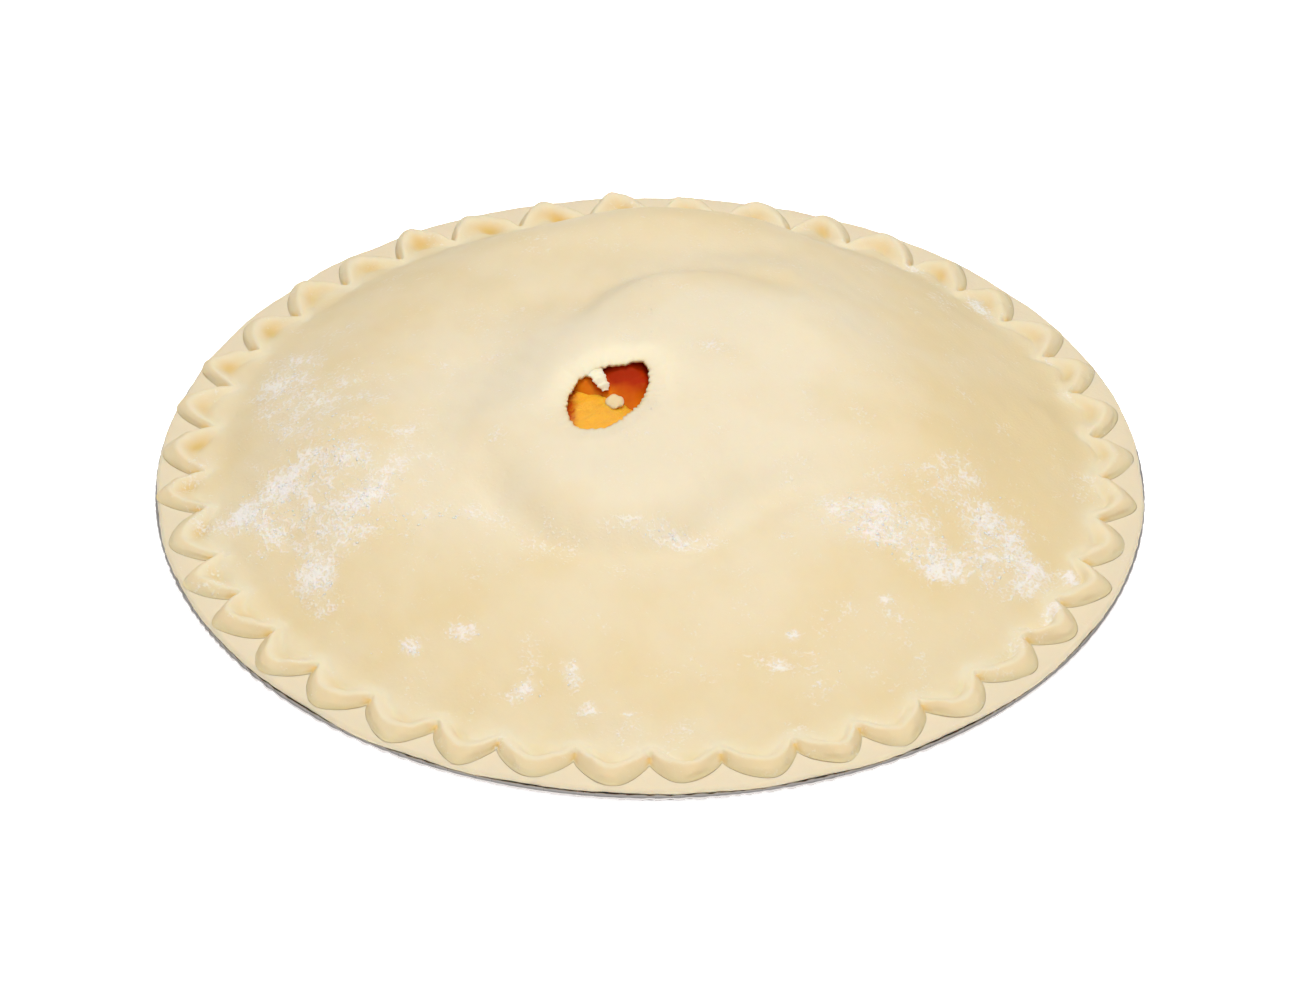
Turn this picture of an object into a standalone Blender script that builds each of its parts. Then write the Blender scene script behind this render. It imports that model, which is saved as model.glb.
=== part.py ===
"""Unbaked peach pie in its foil tin.

Five closed solids in metres, +Z up, with the tin's axis on Z and its underside at z = 0:
a pressed foil tin, a bottom crust that lines it, the peach filling, the peach slice that
shows in the steam vent, and a domed top crust with a fluted edge.
The front of the pie faces -Y.
"""
import math
import random

import bmesh
import bpy

MM = 0.001
DEG = math.pi / 180.0

# Foil tin: a nine inch pie tin
LIP_RADIUS = 122.0 * MM          # over the rolled lip
LIP_BEAD = 0.8 * MM              # radius of the rolled bead
TIN_DEPTH = 28.0 * MM            # table to the top of the flange
TIN_MOUTH = 110.4 * MM           # inside, where the wall meets the flange
TIN_BASE = 88.5 * MM             # inside, where the wall meets the base
FOIL = 0.5 * MM                  # foil with its pleats
GAP = 0.3 * MM                   # clearance between pieces that touch

# Bottom crust
LINING = 3.2 * MM                # dough on the wall, measured level
FLOOR = 3.0 * MM                 # dough on the base
SHELF = 2.0 * MM                 # dough on the flange
SHELF_RADIUS = 120.8 * MM

# Fluted edge
FLUTES = 40
FLUTE_STEPS = 6                  # columns to a flute
FLUTE_SHARPNESS = 0.8            # below 1 the inner corners are sharp and the lobes round
BEARING_JITTER = 0.6 * DEG       # hand work: uneven pitch, reach and height
REACH_JITTER = 0.008
CREST_JITTER = 0.35 * MM
FLUTE_SEED = 7

# Dome, in parts of LIP_RADIUS above the flange
VALLEY = 0.034                   # the pressed edge inside the flutes
CROWN = 0.044                    # the slow swell of the whole top
STEP = 0.074                     # rise of the shoulder, away from the sides
STEP_REACH = 0.60                # where the sides' own rise takes over
SHOULDER_TIGHTNESS = 5.0
# Each side: foot radius, run from foot to shoulder, rise
BACK = (0.888, 0.155, 0.112)
FRONT = (0.874, 0.295, 0.084)
RIGHT = (0.876, 0.315, 0.092)
LEFT = (0.872, 0.275, 0.084)
# Fruit under the dough: x, y, half length, half width, turn in degrees, height, steepness
MOUND = (
    (0.25, 0.08, 0.42, 0.31, -14, 0.060, 1.8),
    (-0.08, -0.09, 0.34, 0.29, 82, 0.070, 2.4),
    (0.11, 0.22, 0.35, 0.28, 18, 0.082, 2.4),
)
MOUND_BLEND = 2.5
SWELLS = (
    (-0.56, -0.06, 0.20, 0.26, 0, 0.034, 1.0),
    (-0.26, -0.52, 0.24, 0.14, -10, 0.012, 1.0),
    (0.28, -0.42, 0.26, 0.18, 6, 0.018, 1.0),
    (-0.16, 0.66, 0.18, 0.09, 10, 0.014, 1.0),
    (0.12, 0.72, 0.26, 0.12, -8, 0.030, 1.0),
    (-0.71, -0.27, 0.08, 0.10, 20, -0.014, 1.0),
)
# Dips where the dough sags between fruit: x, y, radius, from and to bearing, width, depth
SAGS = (
    (-0.06, -0.17, 0.253, -180, -45, 0.062, 0.024),
    (0.60, -0.79, 0.650, 105, 138, 0.064, 0.020),
    (0.08, 0.20, 0.262, 35, 165, 0.052, 0.014),
)
SAG_FADE = 50.0                  # degrees over which a sag runs out at its ends
MOUND_FADE = 0.30                # the mound dies away towards the foot
SWELL_FADE = 0.12

# Top crust
SHEET_AT_FOOT = 2.0 * MM
SHEET = 3.5 * MM                 # measured upright
DOME_EDGE = 0.840                # where the dome's rings end and the flutes' begin
HEEL = 0.862                     # where the underside leaves the shelf's level
DOME_COLUMNS = 80
TOP_STEPS = (0.0, 0.06, 0.13, 0.21, 0.30, 0.40, 0.50, 0.60, 0.70, 0.80, 0.90, 1.0)
UNDER_STEPS = (0.0, 0.13, 0.30, 0.50, 0.70, 0.90, 1.0)

# Steam vent: a torn oval, its long axis from front left to back right
VENT_X = -10.4 * MM
VENT_Y = -1.0 * MM
VENT_LONG = 14.0 * MM            # half length
VENT_SHORT = 9.0 * MM            # half width
VENT_TURN = 57.0 * DEG
VENT_ROUND = 2.4                 # 2 is an ellipse
VENT_RAGGED = 0.5 * MM

# The hollow under the vent and the slice that lies in it
HOLLOW_FLOOR = 47.0 * MM
HOLLOW_FLAT = 27.0 * MM
HOLLOW_RADIUS = 38.0 * MM
HOLLOW_STEPS = (0.7, 0.4)
SLICE_X = -12.9 * MM
SLICE_Y = 1.3 * MM
SLICE_TURN = 130.0 * DEG
SLICE_HALF_LENGTH = 17.5 * MM
SLICE_HALF_WIDTH = 11.0 * MM
SLICE_HEIGHT = 4.6 * MM
SLICE_BEND = 3.0 * MM
SLICE_STATIONS = 12
SLICE_SECTION = 10
TIN_COLUMNS = 72
BEAD_STEPS = 7

# Colours as sRGB, roughness, metallic
FOIL_LOOK = ("B9B9BC", 0.32, 1.0)
BOTTOM_LOOK = ("EAD9B0", 0.60, 0.0)
TOP_LOOK = ("F1E1BC", 0.58, 0.0)
FILLING_LOOK = ("C4480E", 0.25, 0.0)
SLICE_LOOK = ("FBB23C", 0.25, 0.0)

TOP_OF_SHELF = TIN_DEPTH + GAP + SHELF
UNDER_TOP_CRUST = TOP_OF_SHELF + GAP


def linear(hex_colour):
    """An sRGB hex colour as linear red, green, blue and alpha."""
    parts = [int(hex_colour[i:i + 2], 16) / 255.0 for i in (0, 2, 4)]
    return [c / 12.92 if c <= 0.04045 else ((c + 0.055) / 1.055) ** 2.4 for c in parts] + [1.0]


def smooth(t):
    """Ease from 0 to 1."""
    t = min(1.0, max(0.0, t))
    return t * t * t * (t * (6.0 * t - 15.0) + 10.0)


def bump(x, y, patch):
    """A rounded hill on an oval patch."""
    px, py, length, width, turn, height, steepness = patch
    cos_t = math.cos(turn * DEG)
    sin_t = math.sin(turn * DEG)
    along = ((x - px) * cos_t + (y - py) * sin_t) / length
    across = ((y - py) * cos_t - (x - px) * sin_t) / width
    return height * math.exp(-(along ** 2 + across ** 2) ** steepness)


def sag(x, y, patch):
    """A dip along part of a circle."""
    px, py, radius, start, end, width, depth = patch
    off = math.hypot(x - px, y - py) - radius
    bearing = math.atan2(y - py, x - px) / DEG
    turn = abs((bearing - (start + end) / 2.0 + 180.0) % 360.0 - 180.0)
    run_out = smooth((abs(end - start) / 2.0 + SAG_FADE / 2.0 - turn) / SAG_FADE)
    return -depth * math.exp(-(off / width) ** 2) * run_out


def by_side(index, bearing):
    """A value of the four sides, blended round the pie."""
    cos_b = math.cos(bearing)
    sin_b = math.sin(bearing)
    lengthwise = BACK[index] if sin_b > 0.0 else FRONT[index]
    crosswise = RIGHT[index] if cos_b > 0.0 else LEFT[index]
    return lengthwise * sin_b ** 2 + crosswise * cos_b ** 2


def dome_height(x_m, y_m):
    """Height of the dough's upper face over the table, in metres."""
    x = x_m / LIP_RADIUS
    y = y_m / LIP_RADIUS
    radius = math.hypot(x, y)
    bearing = math.atan2(y, x)
    foot = by_side(0, bearing)
    inside = max(0.0, foot - radius)
    run = inside / by_side(1, bearing)
    k = SHOULDER_TIGHTNESS
    ramp = run - math.log1p(math.exp(k * (run - 1.0))) / k + math.log1p(math.exp(-k)) / k
    rise = STEP + (by_side(2, bearing) - STEP) * smooth(radius / STEP_REACH)
    swell = CROWN * max(0.0, 1.0 - (radius / foot) ** 2) ** 1.3
    mound = sum(bump(x, y, patch) ** MOUND_BLEND for patch in MOUND) ** (1.0 / MOUND_BLEND)
    lumps = sum(bump(x, y, patch) for patch in SWELLS)
    sags = sum(sag(x, y, patch) for patch in SAGS)
    height = VALLEY + rise * ramp + swell + mound * smooth(inside / MOUND_FADE)
    height += (lumps + sags) * smooth(inside / SWELL_FADE)
    return TIN_DEPTH + height * LIP_RADIUS


def flute_columns():
    """Bearing, lobe share, reach and crest offset of each column of the fluted edge."""
    draw = random.Random(FLUTE_SEED)
    pitch = 2.0 * math.pi / FLUTES
    corners = [i * pitch + draw.uniform(-BEARING_JITTER, BEARING_JITTER) for i in range(FLUTES)]
    reaches = [draw.uniform(-REACH_JITTER, REACH_JITTER) for _ in range(FLUTES)]
    crests = [draw.uniform(-CREST_JITTER, CREST_JITTER) for _ in range(FLUTES)]
    corners.append(corners[0] + 2.0 * math.pi)
    crests.append(crests[0])
    columns = []
    for i in range(FLUTES):
        for step in range(FLUTE_STEPS):
            part = step / FLUTE_STEPS
            bearing = corners[i] + (corners[i + 1] - corners[i]) * part
            lobe = math.sin(math.pi * part) ** FLUTE_SHARPNESS
            crest = crests[i] + (crests[i + 1] - crests[i]) * part
            columns.append((bearing, lobe, 1.0 + reaches[i] * lobe, crest))
    return columns


# Profile across the fluted edge, from the dome outwards.
# Radius in parts of LIP_RADIUS at a corner and at a lobe, height over the shelf at each,
# and how softly the line turns at a corner: 1 is a sharp pinch.
FLUTE_PROFILE = (
    (0.868, 0.897, 1.9 * MM, 1.7 * MM, 2.0),
    (0.882, 0.918, 1.9 * MM, 1.2 * MM, 2.0),
    (0.893, 0.933, 2.2 * MM, 2.3 * MM, 1.8),
    (0.900, 0.945, 2.4 * MM, 3.1 * MM, 1.6),
    (0.906, 0.956, 2.1 * MM, 3.0 * MM, 1.4),
    (0.911, 0.968, 1.3 * MM, 1.8 * MM, 1.2),
    (0.916, 0.978, 0.3 * MM, 0.3 * MM, 1.0),
)


def flute_ring(row, columns):
    """One ring of the fluted edge, lifted where the dome's slope runs into it."""
    corner_r, lobe_r, corner_z, lobe_z, softness = row
    valley = TIN_DEPTH + VALLEY * LIP_RADIUS
    ring = []
    for bearing, lobe, reach, crest in columns:
        share = lobe ** softness
        radius = (corner_r + (lobe_r - corner_r) * share) * reach * LIP_RADIUS
        x = radius * math.cos(bearing)
        y = radius * math.sin(bearing)
        lift = corner_z + (lobe_z - corner_z) * share
        height = TOP_OF_SHELF + lift + crest * smooth(lift / (4.0 * MM))
        slope = min(height, valley) + dome_height(x, y) - valley
        ring.append((x, y, max(height, slope)))
    return ring


def vent_radius(bearing, ragged):
    """Distance from the vent's centre to its edge."""
    turn = bearing - VENT_TURN
    long_part = abs(math.cos(turn) / VENT_LONG) ** VENT_ROUND
    short_part = abs(math.sin(turn) / VENT_SHORT) ** VENT_ROUND
    wobble = 0.6 * math.sin(3.0 * bearing + 0.8) + 0.4 * math.sin(7.0 * bearing)
    return (long_part + short_part) ** (-1.0 / VENT_ROUND) + ragged * wobble


def dome_point(column_bearing, step):
    """Plan position between the dome's edge (step 0), the vent's edge (1) and its centre (2)."""
    dx = DOME_EDGE * LIP_RADIUS * math.cos(column_bearing) - VENT_X
    dy = DOME_EDGE * LIP_RADIUS * math.sin(column_bearing) - VENT_Y
    run = math.hypot(dx, dy)
    edge = vent_radius(math.atan2(dy, dx), VENT_RAGGED)
    if step <= 1.0:
        distance = run + (edge - run) * step
    else:
        distance = edge * (2.0 - step)
    return VENT_X + dx / run * distance, VENT_Y + dy / run * distance


def under_height(x, y, step):
    """Height of the top crust's underside."""
    sheet = SHEET_AT_FOOT + (SHEET - SHEET_AT_FOOT) * min(1.0, step / UNDER_STEPS[1])
    return max(UNDER_TOP_CRUST, dome_height(x, y) - sheet)


def hollow_height(x, y, step):
    """Height of the filling: close under the crust, lower in the hollow below the vent."""
    close = under_height(x, y, step) - GAP
    distance = math.hypot(x - VENT_X, y - VENT_Y)
    sunk = 1.0 - smooth((distance - HOLLOW_FLAT) / (HOLLOW_RADIUS - HOLLOW_FLAT))
    return close - max(0.0, close - HOLLOW_FLOOR) * sunk


class RingSolid:
    """A closed solid built from rings of vertices."""

    def __init__(self, name, look):
        self.name = name
        self.look = look
        self.mesh = bmesh.new()

    def ring(self, points):
        """Add a ring of vertices."""
        return [self.mesh.verts.new(p) for p in points]

    def band(self, first, second):
        """Join two rings, where the second may have a whole multiple of the first's points."""
        ratio = len(second) // len(first)
        for i in range(len(first)):
            a, b = first[i], first[(i + 1) % len(first)]
            outer = [second[(i * ratio + k) % len(second)] for k in range(ratio + 1)]
            middle = ratio // 2
            for k in range(middle):
                self.mesh.faces.new((a, outer[k], outer[k + 1]))
            self.mesh.faces.new((a, outer[middle], outer[middle + 1]))
            self.mesh.faces.new((a, outer[middle + 1], b))
            for k in range(middle + 1, ratio):
                self.mesh.faces.new((b, outer[k], outer[k + 1]))

    def bands(self, rings):
        """Join each ring to the next."""
        for first, second in zip(rings, rings[1:]):
            self.band(first, second)

    def cap(self, ring, apex):
        """Close a ring with a fan to one point."""
        tip = self.mesh.verts.new(apex)
        for i in range(len(ring)):
            self.mesh.faces.new((ring[i], ring[(i + 1) % len(ring)], tip))

    def finish(self):
        """Turn the faces outwards and make the object."""
        bmesh.ops.recalc_face_normals(self.mesh, faces=self.mesh.faces)
        data = bpy.data.meshes.new(self.name)
        for face in self.mesh.faces:
            face.smooth = True
        self.mesh.to_mesh(data)
        self.mesh.free()
        colour, roughness, metallic = self.look
        material = bpy.data.materials.new(self.name)
        material.use_nodes = True
        shader = material.node_tree.nodes["Principled BSDF"]
        shader.inputs["Base Color"].default_value = linear(colour)
        shader.inputs["Roughness"].default_value = roughness
        shader.inputs["Metallic"].default_value = metallic
        data.materials.append(material)
        result = bpy.data.objects.new(self.name, data)
        bpy.context.scene.collection.objects.link(result)
        return result


def level_ring(radius, height, bearings):
    """A level ring of points."""
    return [(radius * math.cos(b), radius * math.sin(b), height) for b in bearings]


def lathe(name, look, profile):
    """A solid turned round Z from a profile that starts and ends on the axis."""
    solid = RingSolid(name, look)
    bearings = [2.0 * math.pi * i / TIN_COLUMNS for i in range(TIN_COLUMNS)]
    rings = [solid.ring(level_ring(r, z, bearings)) for r, z in profile[1:-1]]
    solid.bands(rings)
    solid.cap(rings[0], (0.0, 0.0, profile[0][1]))
    solid.cap(rings[-1], (0.0, 0.0, profile[-1][1]))
    return solid.finish()


def wall_radius(height):
    """Inside radius of the tin's sloping wall."""
    part = (height - FOIL) / (TIN_DEPTH - FOIL)
    return TIN_BASE + (TIN_MOUTH - TIN_BASE) * part


def build_foil_tin():
    """The tin: flat base, sloping wall, level flange and rolled lip."""
    corner = 3.0 * MM
    bead_r = LIP_RADIUS - LIP_BEAD
    bead_z = TIN_DEPTH
    flange_end = bead_r - LIP_BEAD
    outside = [
        (0.0, 0.0),
        (TIN_BASE - corner, 0.0),
        (TIN_BASE + FOIL, 0.3 * corner),
        (wall_radius(TIN_DEPTH - FOIL) + FOIL, TIN_DEPTH - 1.5 * FOIL),
        (TIN_MOUTH + 1.5 * MM, TIN_DEPTH - FOIL),
        (flange_end, TIN_DEPTH - FOIL),
    ]
    bead = []
    for i in range(BEAD_STEPS):
        angle = (-140.0 + 280.0 * i / (BEAD_STEPS - 1)) * DEG
        bead.append((bead_r + LIP_BEAD * math.cos(angle), bead_z + LIP_BEAD * math.sin(angle)))
    inside = [
        (flange_end, TIN_DEPTH),
        (TIN_MOUTH + 1.2 * MM, TIN_DEPTH),
        (TIN_MOUTH, TIN_DEPTH - 1.2 * FOIL),
        (wall_radius(0.4 * corner), 0.4 * corner + FOIL),
        (TIN_BASE - corner, FOIL),
        (0.0, FOIL),
    ]
    return lathe("foil_tin", FOIL_LOOK, outside + bead + inside)


def lining_profile(inset):
    """The inside of the dough in the tin, from its floor to the mouth, or a line inside it."""
    floor = FOIL + GAP + FLOOR
    corner = floor + 0.8 * FLOOR
    inner = 1.5 * GAP + LINING + inset
    return [
        (TIN_BASE - 4.0 * MM - inner, floor + min(inset, GAP)),
        (wall_radius(corner) - inner, corner),
        (wall_radius(TIN_DEPTH) - inner, TIN_DEPTH),
        (wall_radius(TOP_OF_SHELF) - inner, TOP_OF_SHELF),
    ]


def build_bottom_crust():
    """Dough on the tin's base, wall and flange."""
    low = 2.5 * MM
    under = FOIL + GAP
    top = TIN_DEPTH + GAP
    profile = [
        (0.0, under),
        (TIN_BASE - 4.0 * MM, under),
        (wall_radius(low) - 1.5 * GAP, low),
        (wall_radius(TIN_DEPTH - 1.0 * MM) - 1.5 * GAP, TIN_DEPTH - 1.0 * MM),
        (TIN_MOUTH + 0.8 * MM, top),
        (SHELF_RADIUS - 1.2 * MM, top),
        (SHELF_RADIUS, top + 0.6 * SHELF),
        (SHELF_RADIUS - 0.6 * MM, TOP_OF_SHELF),
    ]
    profile += lining_profile(0.0)[::-1]
    profile.append((0.0, under + FLOOR))
    return lathe("bottom_crust", BOTTOM_LOOK, profile)


def build_peach_filling(bearings):
    """Peach filling: fills the lining, follows the dome, and is hollowed below the vent."""
    solid = RingSolid("peach_filling", FILLING_LOOK)
    profile = lining_profile(2.0 * GAP)
    profile.append((HEEL * LIP_RADIUS, TOP_OF_SHELF))
    rings = [solid.ring(level_ring(r, z, bearings)) for r, z in profile]
    for step in UNDER_STEPS:
        points = [dome_point(b, step) for b in bearings]
        rings.append(solid.ring([(x, y, hollow_height(x, y, step)) for x, y in points]))
    for share in HOLLOW_STEPS:
        points = [dome_point(b, 2.0 - share) for b in bearings]
        rings.append(solid.ring([(x, y, HOLLOW_FLOOR) for x, y in points]))
    solid.bands(rings)
    solid.cap(rings[0], (0.0, 0.0, profile[0][1]))
    solid.cap(rings[-1], (VENT_X, VENT_Y, HOLLOW_FLOOR))
    return solid.finish()


def build_peach_slice():
    """The slice in the vent: a bent crescent with a flat underside."""
    solid = RingSolid("peach_slice", SLICE_LOOK)
    cos_t = math.cos(SLICE_TURN)
    sin_t = math.sin(SLICE_TURN)
    base = HOLLOW_FLOOR + GAP

    def place(along, across, up):
        return (SLICE_X + along * cos_t - across * sin_t,
                SLICE_Y + along * sin_t + across * cos_t, base + up)

    rings = []
    for i in range(1, SLICE_STATIONS):
        t = -1.0 + 2.0 * i / SLICE_STATIONS
        taper = (1.0 - t * t) ** 0.5
        bend = SLICE_BEND * (1.0 - t * t)
        points = []
        for j in range(SLICE_SECTION):
            angle = 2.0 * math.pi * (j + 0.5) / SLICE_SECTION
            across = SLICE_HALF_WIDTH * taper * math.cos(angle)
            up = SLICE_HEIGHT * taper ** 0.6 * max(0.0, math.sin(angle)) ** 0.8
            points.append(place(t * SLICE_HALF_LENGTH, across + bend, up))
        rings.append(solid.ring(points))
    solid.bands(rings)
    solid.cap(rings[0], place(-SLICE_HALF_LENGTH, 0.0, 0.0))
    solid.cap(rings[-1], place(SLICE_HALF_LENGTH, 0.0, 0.0))
    return solid.finish()


def build_top_crust(columns, bearings):
    """The lid: dome, pressed valley and fluted edge in one sheet, with the vent through it."""
    solid = RingSolid("top_crust", TOP_LOOK)
    top = []
    for step in reversed(TOP_STEPS):
        points = [dome_point(b, step) for b in bearings]
        top.append(solid.ring([(x, y, dome_height(x, y)) for x, y in points]))
    flutes = [solid.ring(flute_ring(row, columns)) for row in FLUTE_PROFILE]
    under = [solid.ring(level_ring(HEEL * LIP_RADIUS, UNDER_TOP_CRUST, bearings))]
    for step in UNDER_STEPS:
        points = [dome_point(b, step) for b in bearings]
        under.append(solid.ring([(x, y, under_height(x, y, step)) for x, y in points]))
    solid.bands(top + flutes)
    solid.band(under[0], flutes[-1])
    solid.bands(under)
    solid.band(under[-1], top[0])
    return solid.finish()


def main():
    """Clear the scene and build every piece."""
    for item in list(bpy.data.objects):
        bpy.data.objects.remove(item, do_unlink=True)
    columns = flute_columns()
    bearings = [column[0] for column in columns[::len(columns) // DOME_COLUMNS]]
    build_foil_tin()
    build_bottom_crust()
    build_peach_filling(bearings)
    build_peach_slice()
    build_top_crust(columns, bearings)


main()
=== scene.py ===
"""Unbaked peach pie in its foil tin: the finished look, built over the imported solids.

Laid out as a Blender add-on and run as a script. Every piece is made in the frame of the
solids, in metres, with +Z up and the front of the pie facing -Y.
"""

import functools
import math
import random

import bpy
import numpy as np
from mathutils import Matrix, Vector


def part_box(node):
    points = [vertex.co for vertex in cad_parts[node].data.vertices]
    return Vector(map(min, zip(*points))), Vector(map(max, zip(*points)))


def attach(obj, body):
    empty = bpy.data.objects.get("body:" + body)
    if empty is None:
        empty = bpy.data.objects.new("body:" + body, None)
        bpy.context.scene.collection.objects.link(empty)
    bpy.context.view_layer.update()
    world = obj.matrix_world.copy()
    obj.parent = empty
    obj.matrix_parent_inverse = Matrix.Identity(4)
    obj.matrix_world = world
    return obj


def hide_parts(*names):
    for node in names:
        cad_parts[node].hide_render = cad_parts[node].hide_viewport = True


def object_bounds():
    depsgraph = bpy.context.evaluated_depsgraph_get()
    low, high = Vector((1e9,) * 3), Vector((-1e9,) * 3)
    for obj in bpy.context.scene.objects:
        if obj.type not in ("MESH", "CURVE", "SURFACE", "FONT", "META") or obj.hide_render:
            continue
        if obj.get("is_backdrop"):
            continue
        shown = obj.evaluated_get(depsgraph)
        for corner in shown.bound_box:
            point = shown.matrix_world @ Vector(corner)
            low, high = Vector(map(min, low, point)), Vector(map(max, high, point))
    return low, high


bl_info = {
    "name": "Unbaked peach pie",
    "version": (1, 0, 0),
    "blender": (4, 5, 0),
    "location": "3D View > Sidebar > Peach Pie",
    "description": "Builds an unbaked peach pie in its foil tin, piece by piece",
    "category": "Add Mesh",
}

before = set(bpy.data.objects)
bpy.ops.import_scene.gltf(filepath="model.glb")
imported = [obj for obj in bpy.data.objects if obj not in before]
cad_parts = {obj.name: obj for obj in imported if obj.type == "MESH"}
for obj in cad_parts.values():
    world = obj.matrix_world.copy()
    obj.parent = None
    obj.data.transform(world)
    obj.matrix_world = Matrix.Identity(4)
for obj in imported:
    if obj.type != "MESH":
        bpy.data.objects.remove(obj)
SOLID_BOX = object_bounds()

MM = 0.001
DEG = math.pi / 180.0
TURN = 2.0 * math.pi

# ---------- The solids' own measures, in metres or in parts of the lip's radius ----------
LIP_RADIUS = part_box("foil_tin")[1].x
LIP_BEAD = 0.8 * MM
TIN_DEPTH = 28.0 * MM
TIN_MOUTH = 110.4 * MM
TIN_BASE = 88.5 * MM
FOIL = 0.5 * MM
GAP = 0.3 * MM
LINING = 3.2 * MM
FLOOR = 3.0 * MM
SHELF = 2.0 * MM
SHELF_RADIUS = 120.8 * MM
TOP_OF_SHELF = TIN_DEPTH + GAP + SHELF
UNDER_TOP_CRUST = TOP_OF_SHELF + GAP

FLUTES = 40
FLUTE_SHARPNESS = 0.8
BEARING_JITTER = 0.6 * DEG
REACH_JITTER = 0.008
CREST_JITTER = 0.35 * MM
FLUTE_SEED = 7
FLUTE_SKEW = 0.10  # each lobe leans by up to this part of a flute
FLUTE_SWAY = 0.35 * MM  # the ridge wanders by this much
THUMB_DEPTH = 0.8 * MM  # a fingertip is pressed into each lobe
FLUTE_SHIFT = 0.012  # lobes reach this much farther at the back and the left
DOME_EDGE = 0.840
HEEL = 0.862

VALLEY = 0.034
CROWN = 0.044
STEP = 0.074
STEP_REACH = 0.60
SHOULDER_TIGHTNESS = 5.0
# Each side of the dome: foot radius, run from foot to shoulder, rise
BACK = (0.888, 0.155, 0.112)
FRONT = (0.874, 0.295, 0.084)
RIGHT = (0.876, 0.315, 0.092)
LEFT = (0.872, 0.275, 0.084)
# Fruit under the dough: x, y, half length, half width, turn in degrees, height, steepness
MOUND = (
    (0.25, 0.08, 0.42, 0.31, -14, 0.060, 1.8),
    (-0.08, -0.09, 0.34, 0.29, 82, 0.070, 2.4),
    (0.11, 0.22, 0.35, 0.28, 18, 0.082, 2.4),
)
MOUND_BLEND = 2.5
SWELLS = (
    (-0.56, -0.06, 0.20, 0.26, 0, 0.034, 1.0),
    (-0.26, -0.52, 0.24, 0.14, -10, 0.012, 1.0),
    (0.28, -0.42, 0.26, 0.18, 6, 0.018, 1.0),
    (-0.16, 0.66, 0.18, 0.09, 10, 0.014, 1.0),
    (0.12, 0.72, 0.26, 0.12, -8, 0.030, 1.0),
    (-0.71, -0.27, 0.08, 0.10, 20, -0.014, 1.0),
)
# Dips where the dough sags between fruit: x, y, radius, from and to bearing, width, depth
SAGS = (
    (-0.06, -0.17, 0.253, -180, -45, 0.062, 0.024),
    (0.60, -0.79, 0.650, 105, 138, 0.064, 0.020),
    (0.08, 0.20, 0.262, 35, 165, 0.052, 0.014),
)
SAG_DEEPER = 1.45  # the soft dough sags more sharply than the solids
SAG_FADE = 50.0
MOUND_FADE = 0.30
SWELL_FADE = 0.12
SHEET_AT_FOOT = 2.0 * MM
SHEET = 3.5 * MM
# Profile across the fluted edge, from the dome outwards: radius at a corner and at a lobe,
# in parts of LIP_RADIUS, height over the shelf at each, softness of the turn at a corner
FLUTE_PROFILE = (
    (0.868, 0.897, 1.9 * MM, 1.7 * MM, 2.0),
    (0.882, 0.918, 1.9 * MM, 1.2 * MM, 2.0),
    (0.893, 0.933, 2.2 * MM, 2.3 * MM, 1.8),
    (0.900, 0.945, 2.4 * MM, 3.1 * MM, 1.6),
    (0.906, 0.956, 2.1 * MM, 3.0 * MM, 1.4),
    (0.911, 0.968, 1.3 * MM, 1.8 * MM, 1.2),
    (0.916, 0.978, 0.3 * MM, 0.3 * MM, 1.0),
)

# The flutes' outer foot, pressed onto the shelf
FLUTE_FOOT = (
    (0.916, 0.975, 0.5 * MM, 0.55 * MM, 1.10),
    (0.922, 0.982, 0.05 * MM, 0.05 * MM, 1.10),
    (0.924, 0.984, -0.25 * MM, -0.25 * MM, 1.10),
)
FLUTE_LOWER = 0.86  # the pressed ridge has this share of its height

HOLLOW_FLOOR = 47.0 * MM
HOLLOW_FLAT = 27.0 * MM
HOLLOW_RADIUS = 38.0 * MM
SLICE_X = -12.9 * MM
SLICE_Y = 1.3 * MM
SLICE_TURN = 130.0 * DEG
SLICE_HALF_LENGTH = 17.5 * MM
SLICE_HALF_WIDTH = 11.0 * MM
SLICE_HEIGHT = 4.6 * MM
SLICE_BEND = 3.0 * MM

# ---------- Finer measures of the real thing, which only the finished look has ----------
VENT_X = -10.4 * MM
VENT_Y = -1.0 * MM
# The torn edge of the vent: bearing from its centre in degrees, distance in millimetres
VENT_EDGE = (
    (-158, 10.8), (-141, 11.9), (-125, 13.3), (-106, 12.3), (-87, 10.8), (-74, 9.4),
    (-54, 8.1), (-27, 8.2), (-4, 8.8), (14, 10.0), (27, 11.2), (42, 12.9), (52, 14.2),
    (58, 13.9), (68, 11.8), (84, 10.9), (101, 10.7), (112, 10.3), (122, 9.7), (134, 10.4),
    (156, 9.3), (180, 9.8),
)
TEAR_RAGGED = 0.22 * MM  # small tears along the vent's edge
TEAR_DROOP = 0.8 * MM  # the edge sags into the vent
TEAR_REACH = 2.6 * MM
TEAR_RIM = 0.7 * MM  # the thin rim is painted orange, as a painted glow of the fruit's light through it
TEAR_SHEET = 0.8 * MM  # the dough is pulled thin where it tore,
TEAR_THICKENS = 6.0 * MM
PALE_RING = 6.0 * MM  # and is painted paler round the vent, partly for thin dough and partly as painted light
# Folds pressed into the dough when it was laid: from x, y to x, y, half width, height
FOLDS = (
    (-0.835, -0.02, -0.80, 0.16, 0.016, 0.0030),
    (-0.80, 0.16, -0.74, 0.33, 0.018, 0.0034),
)
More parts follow.
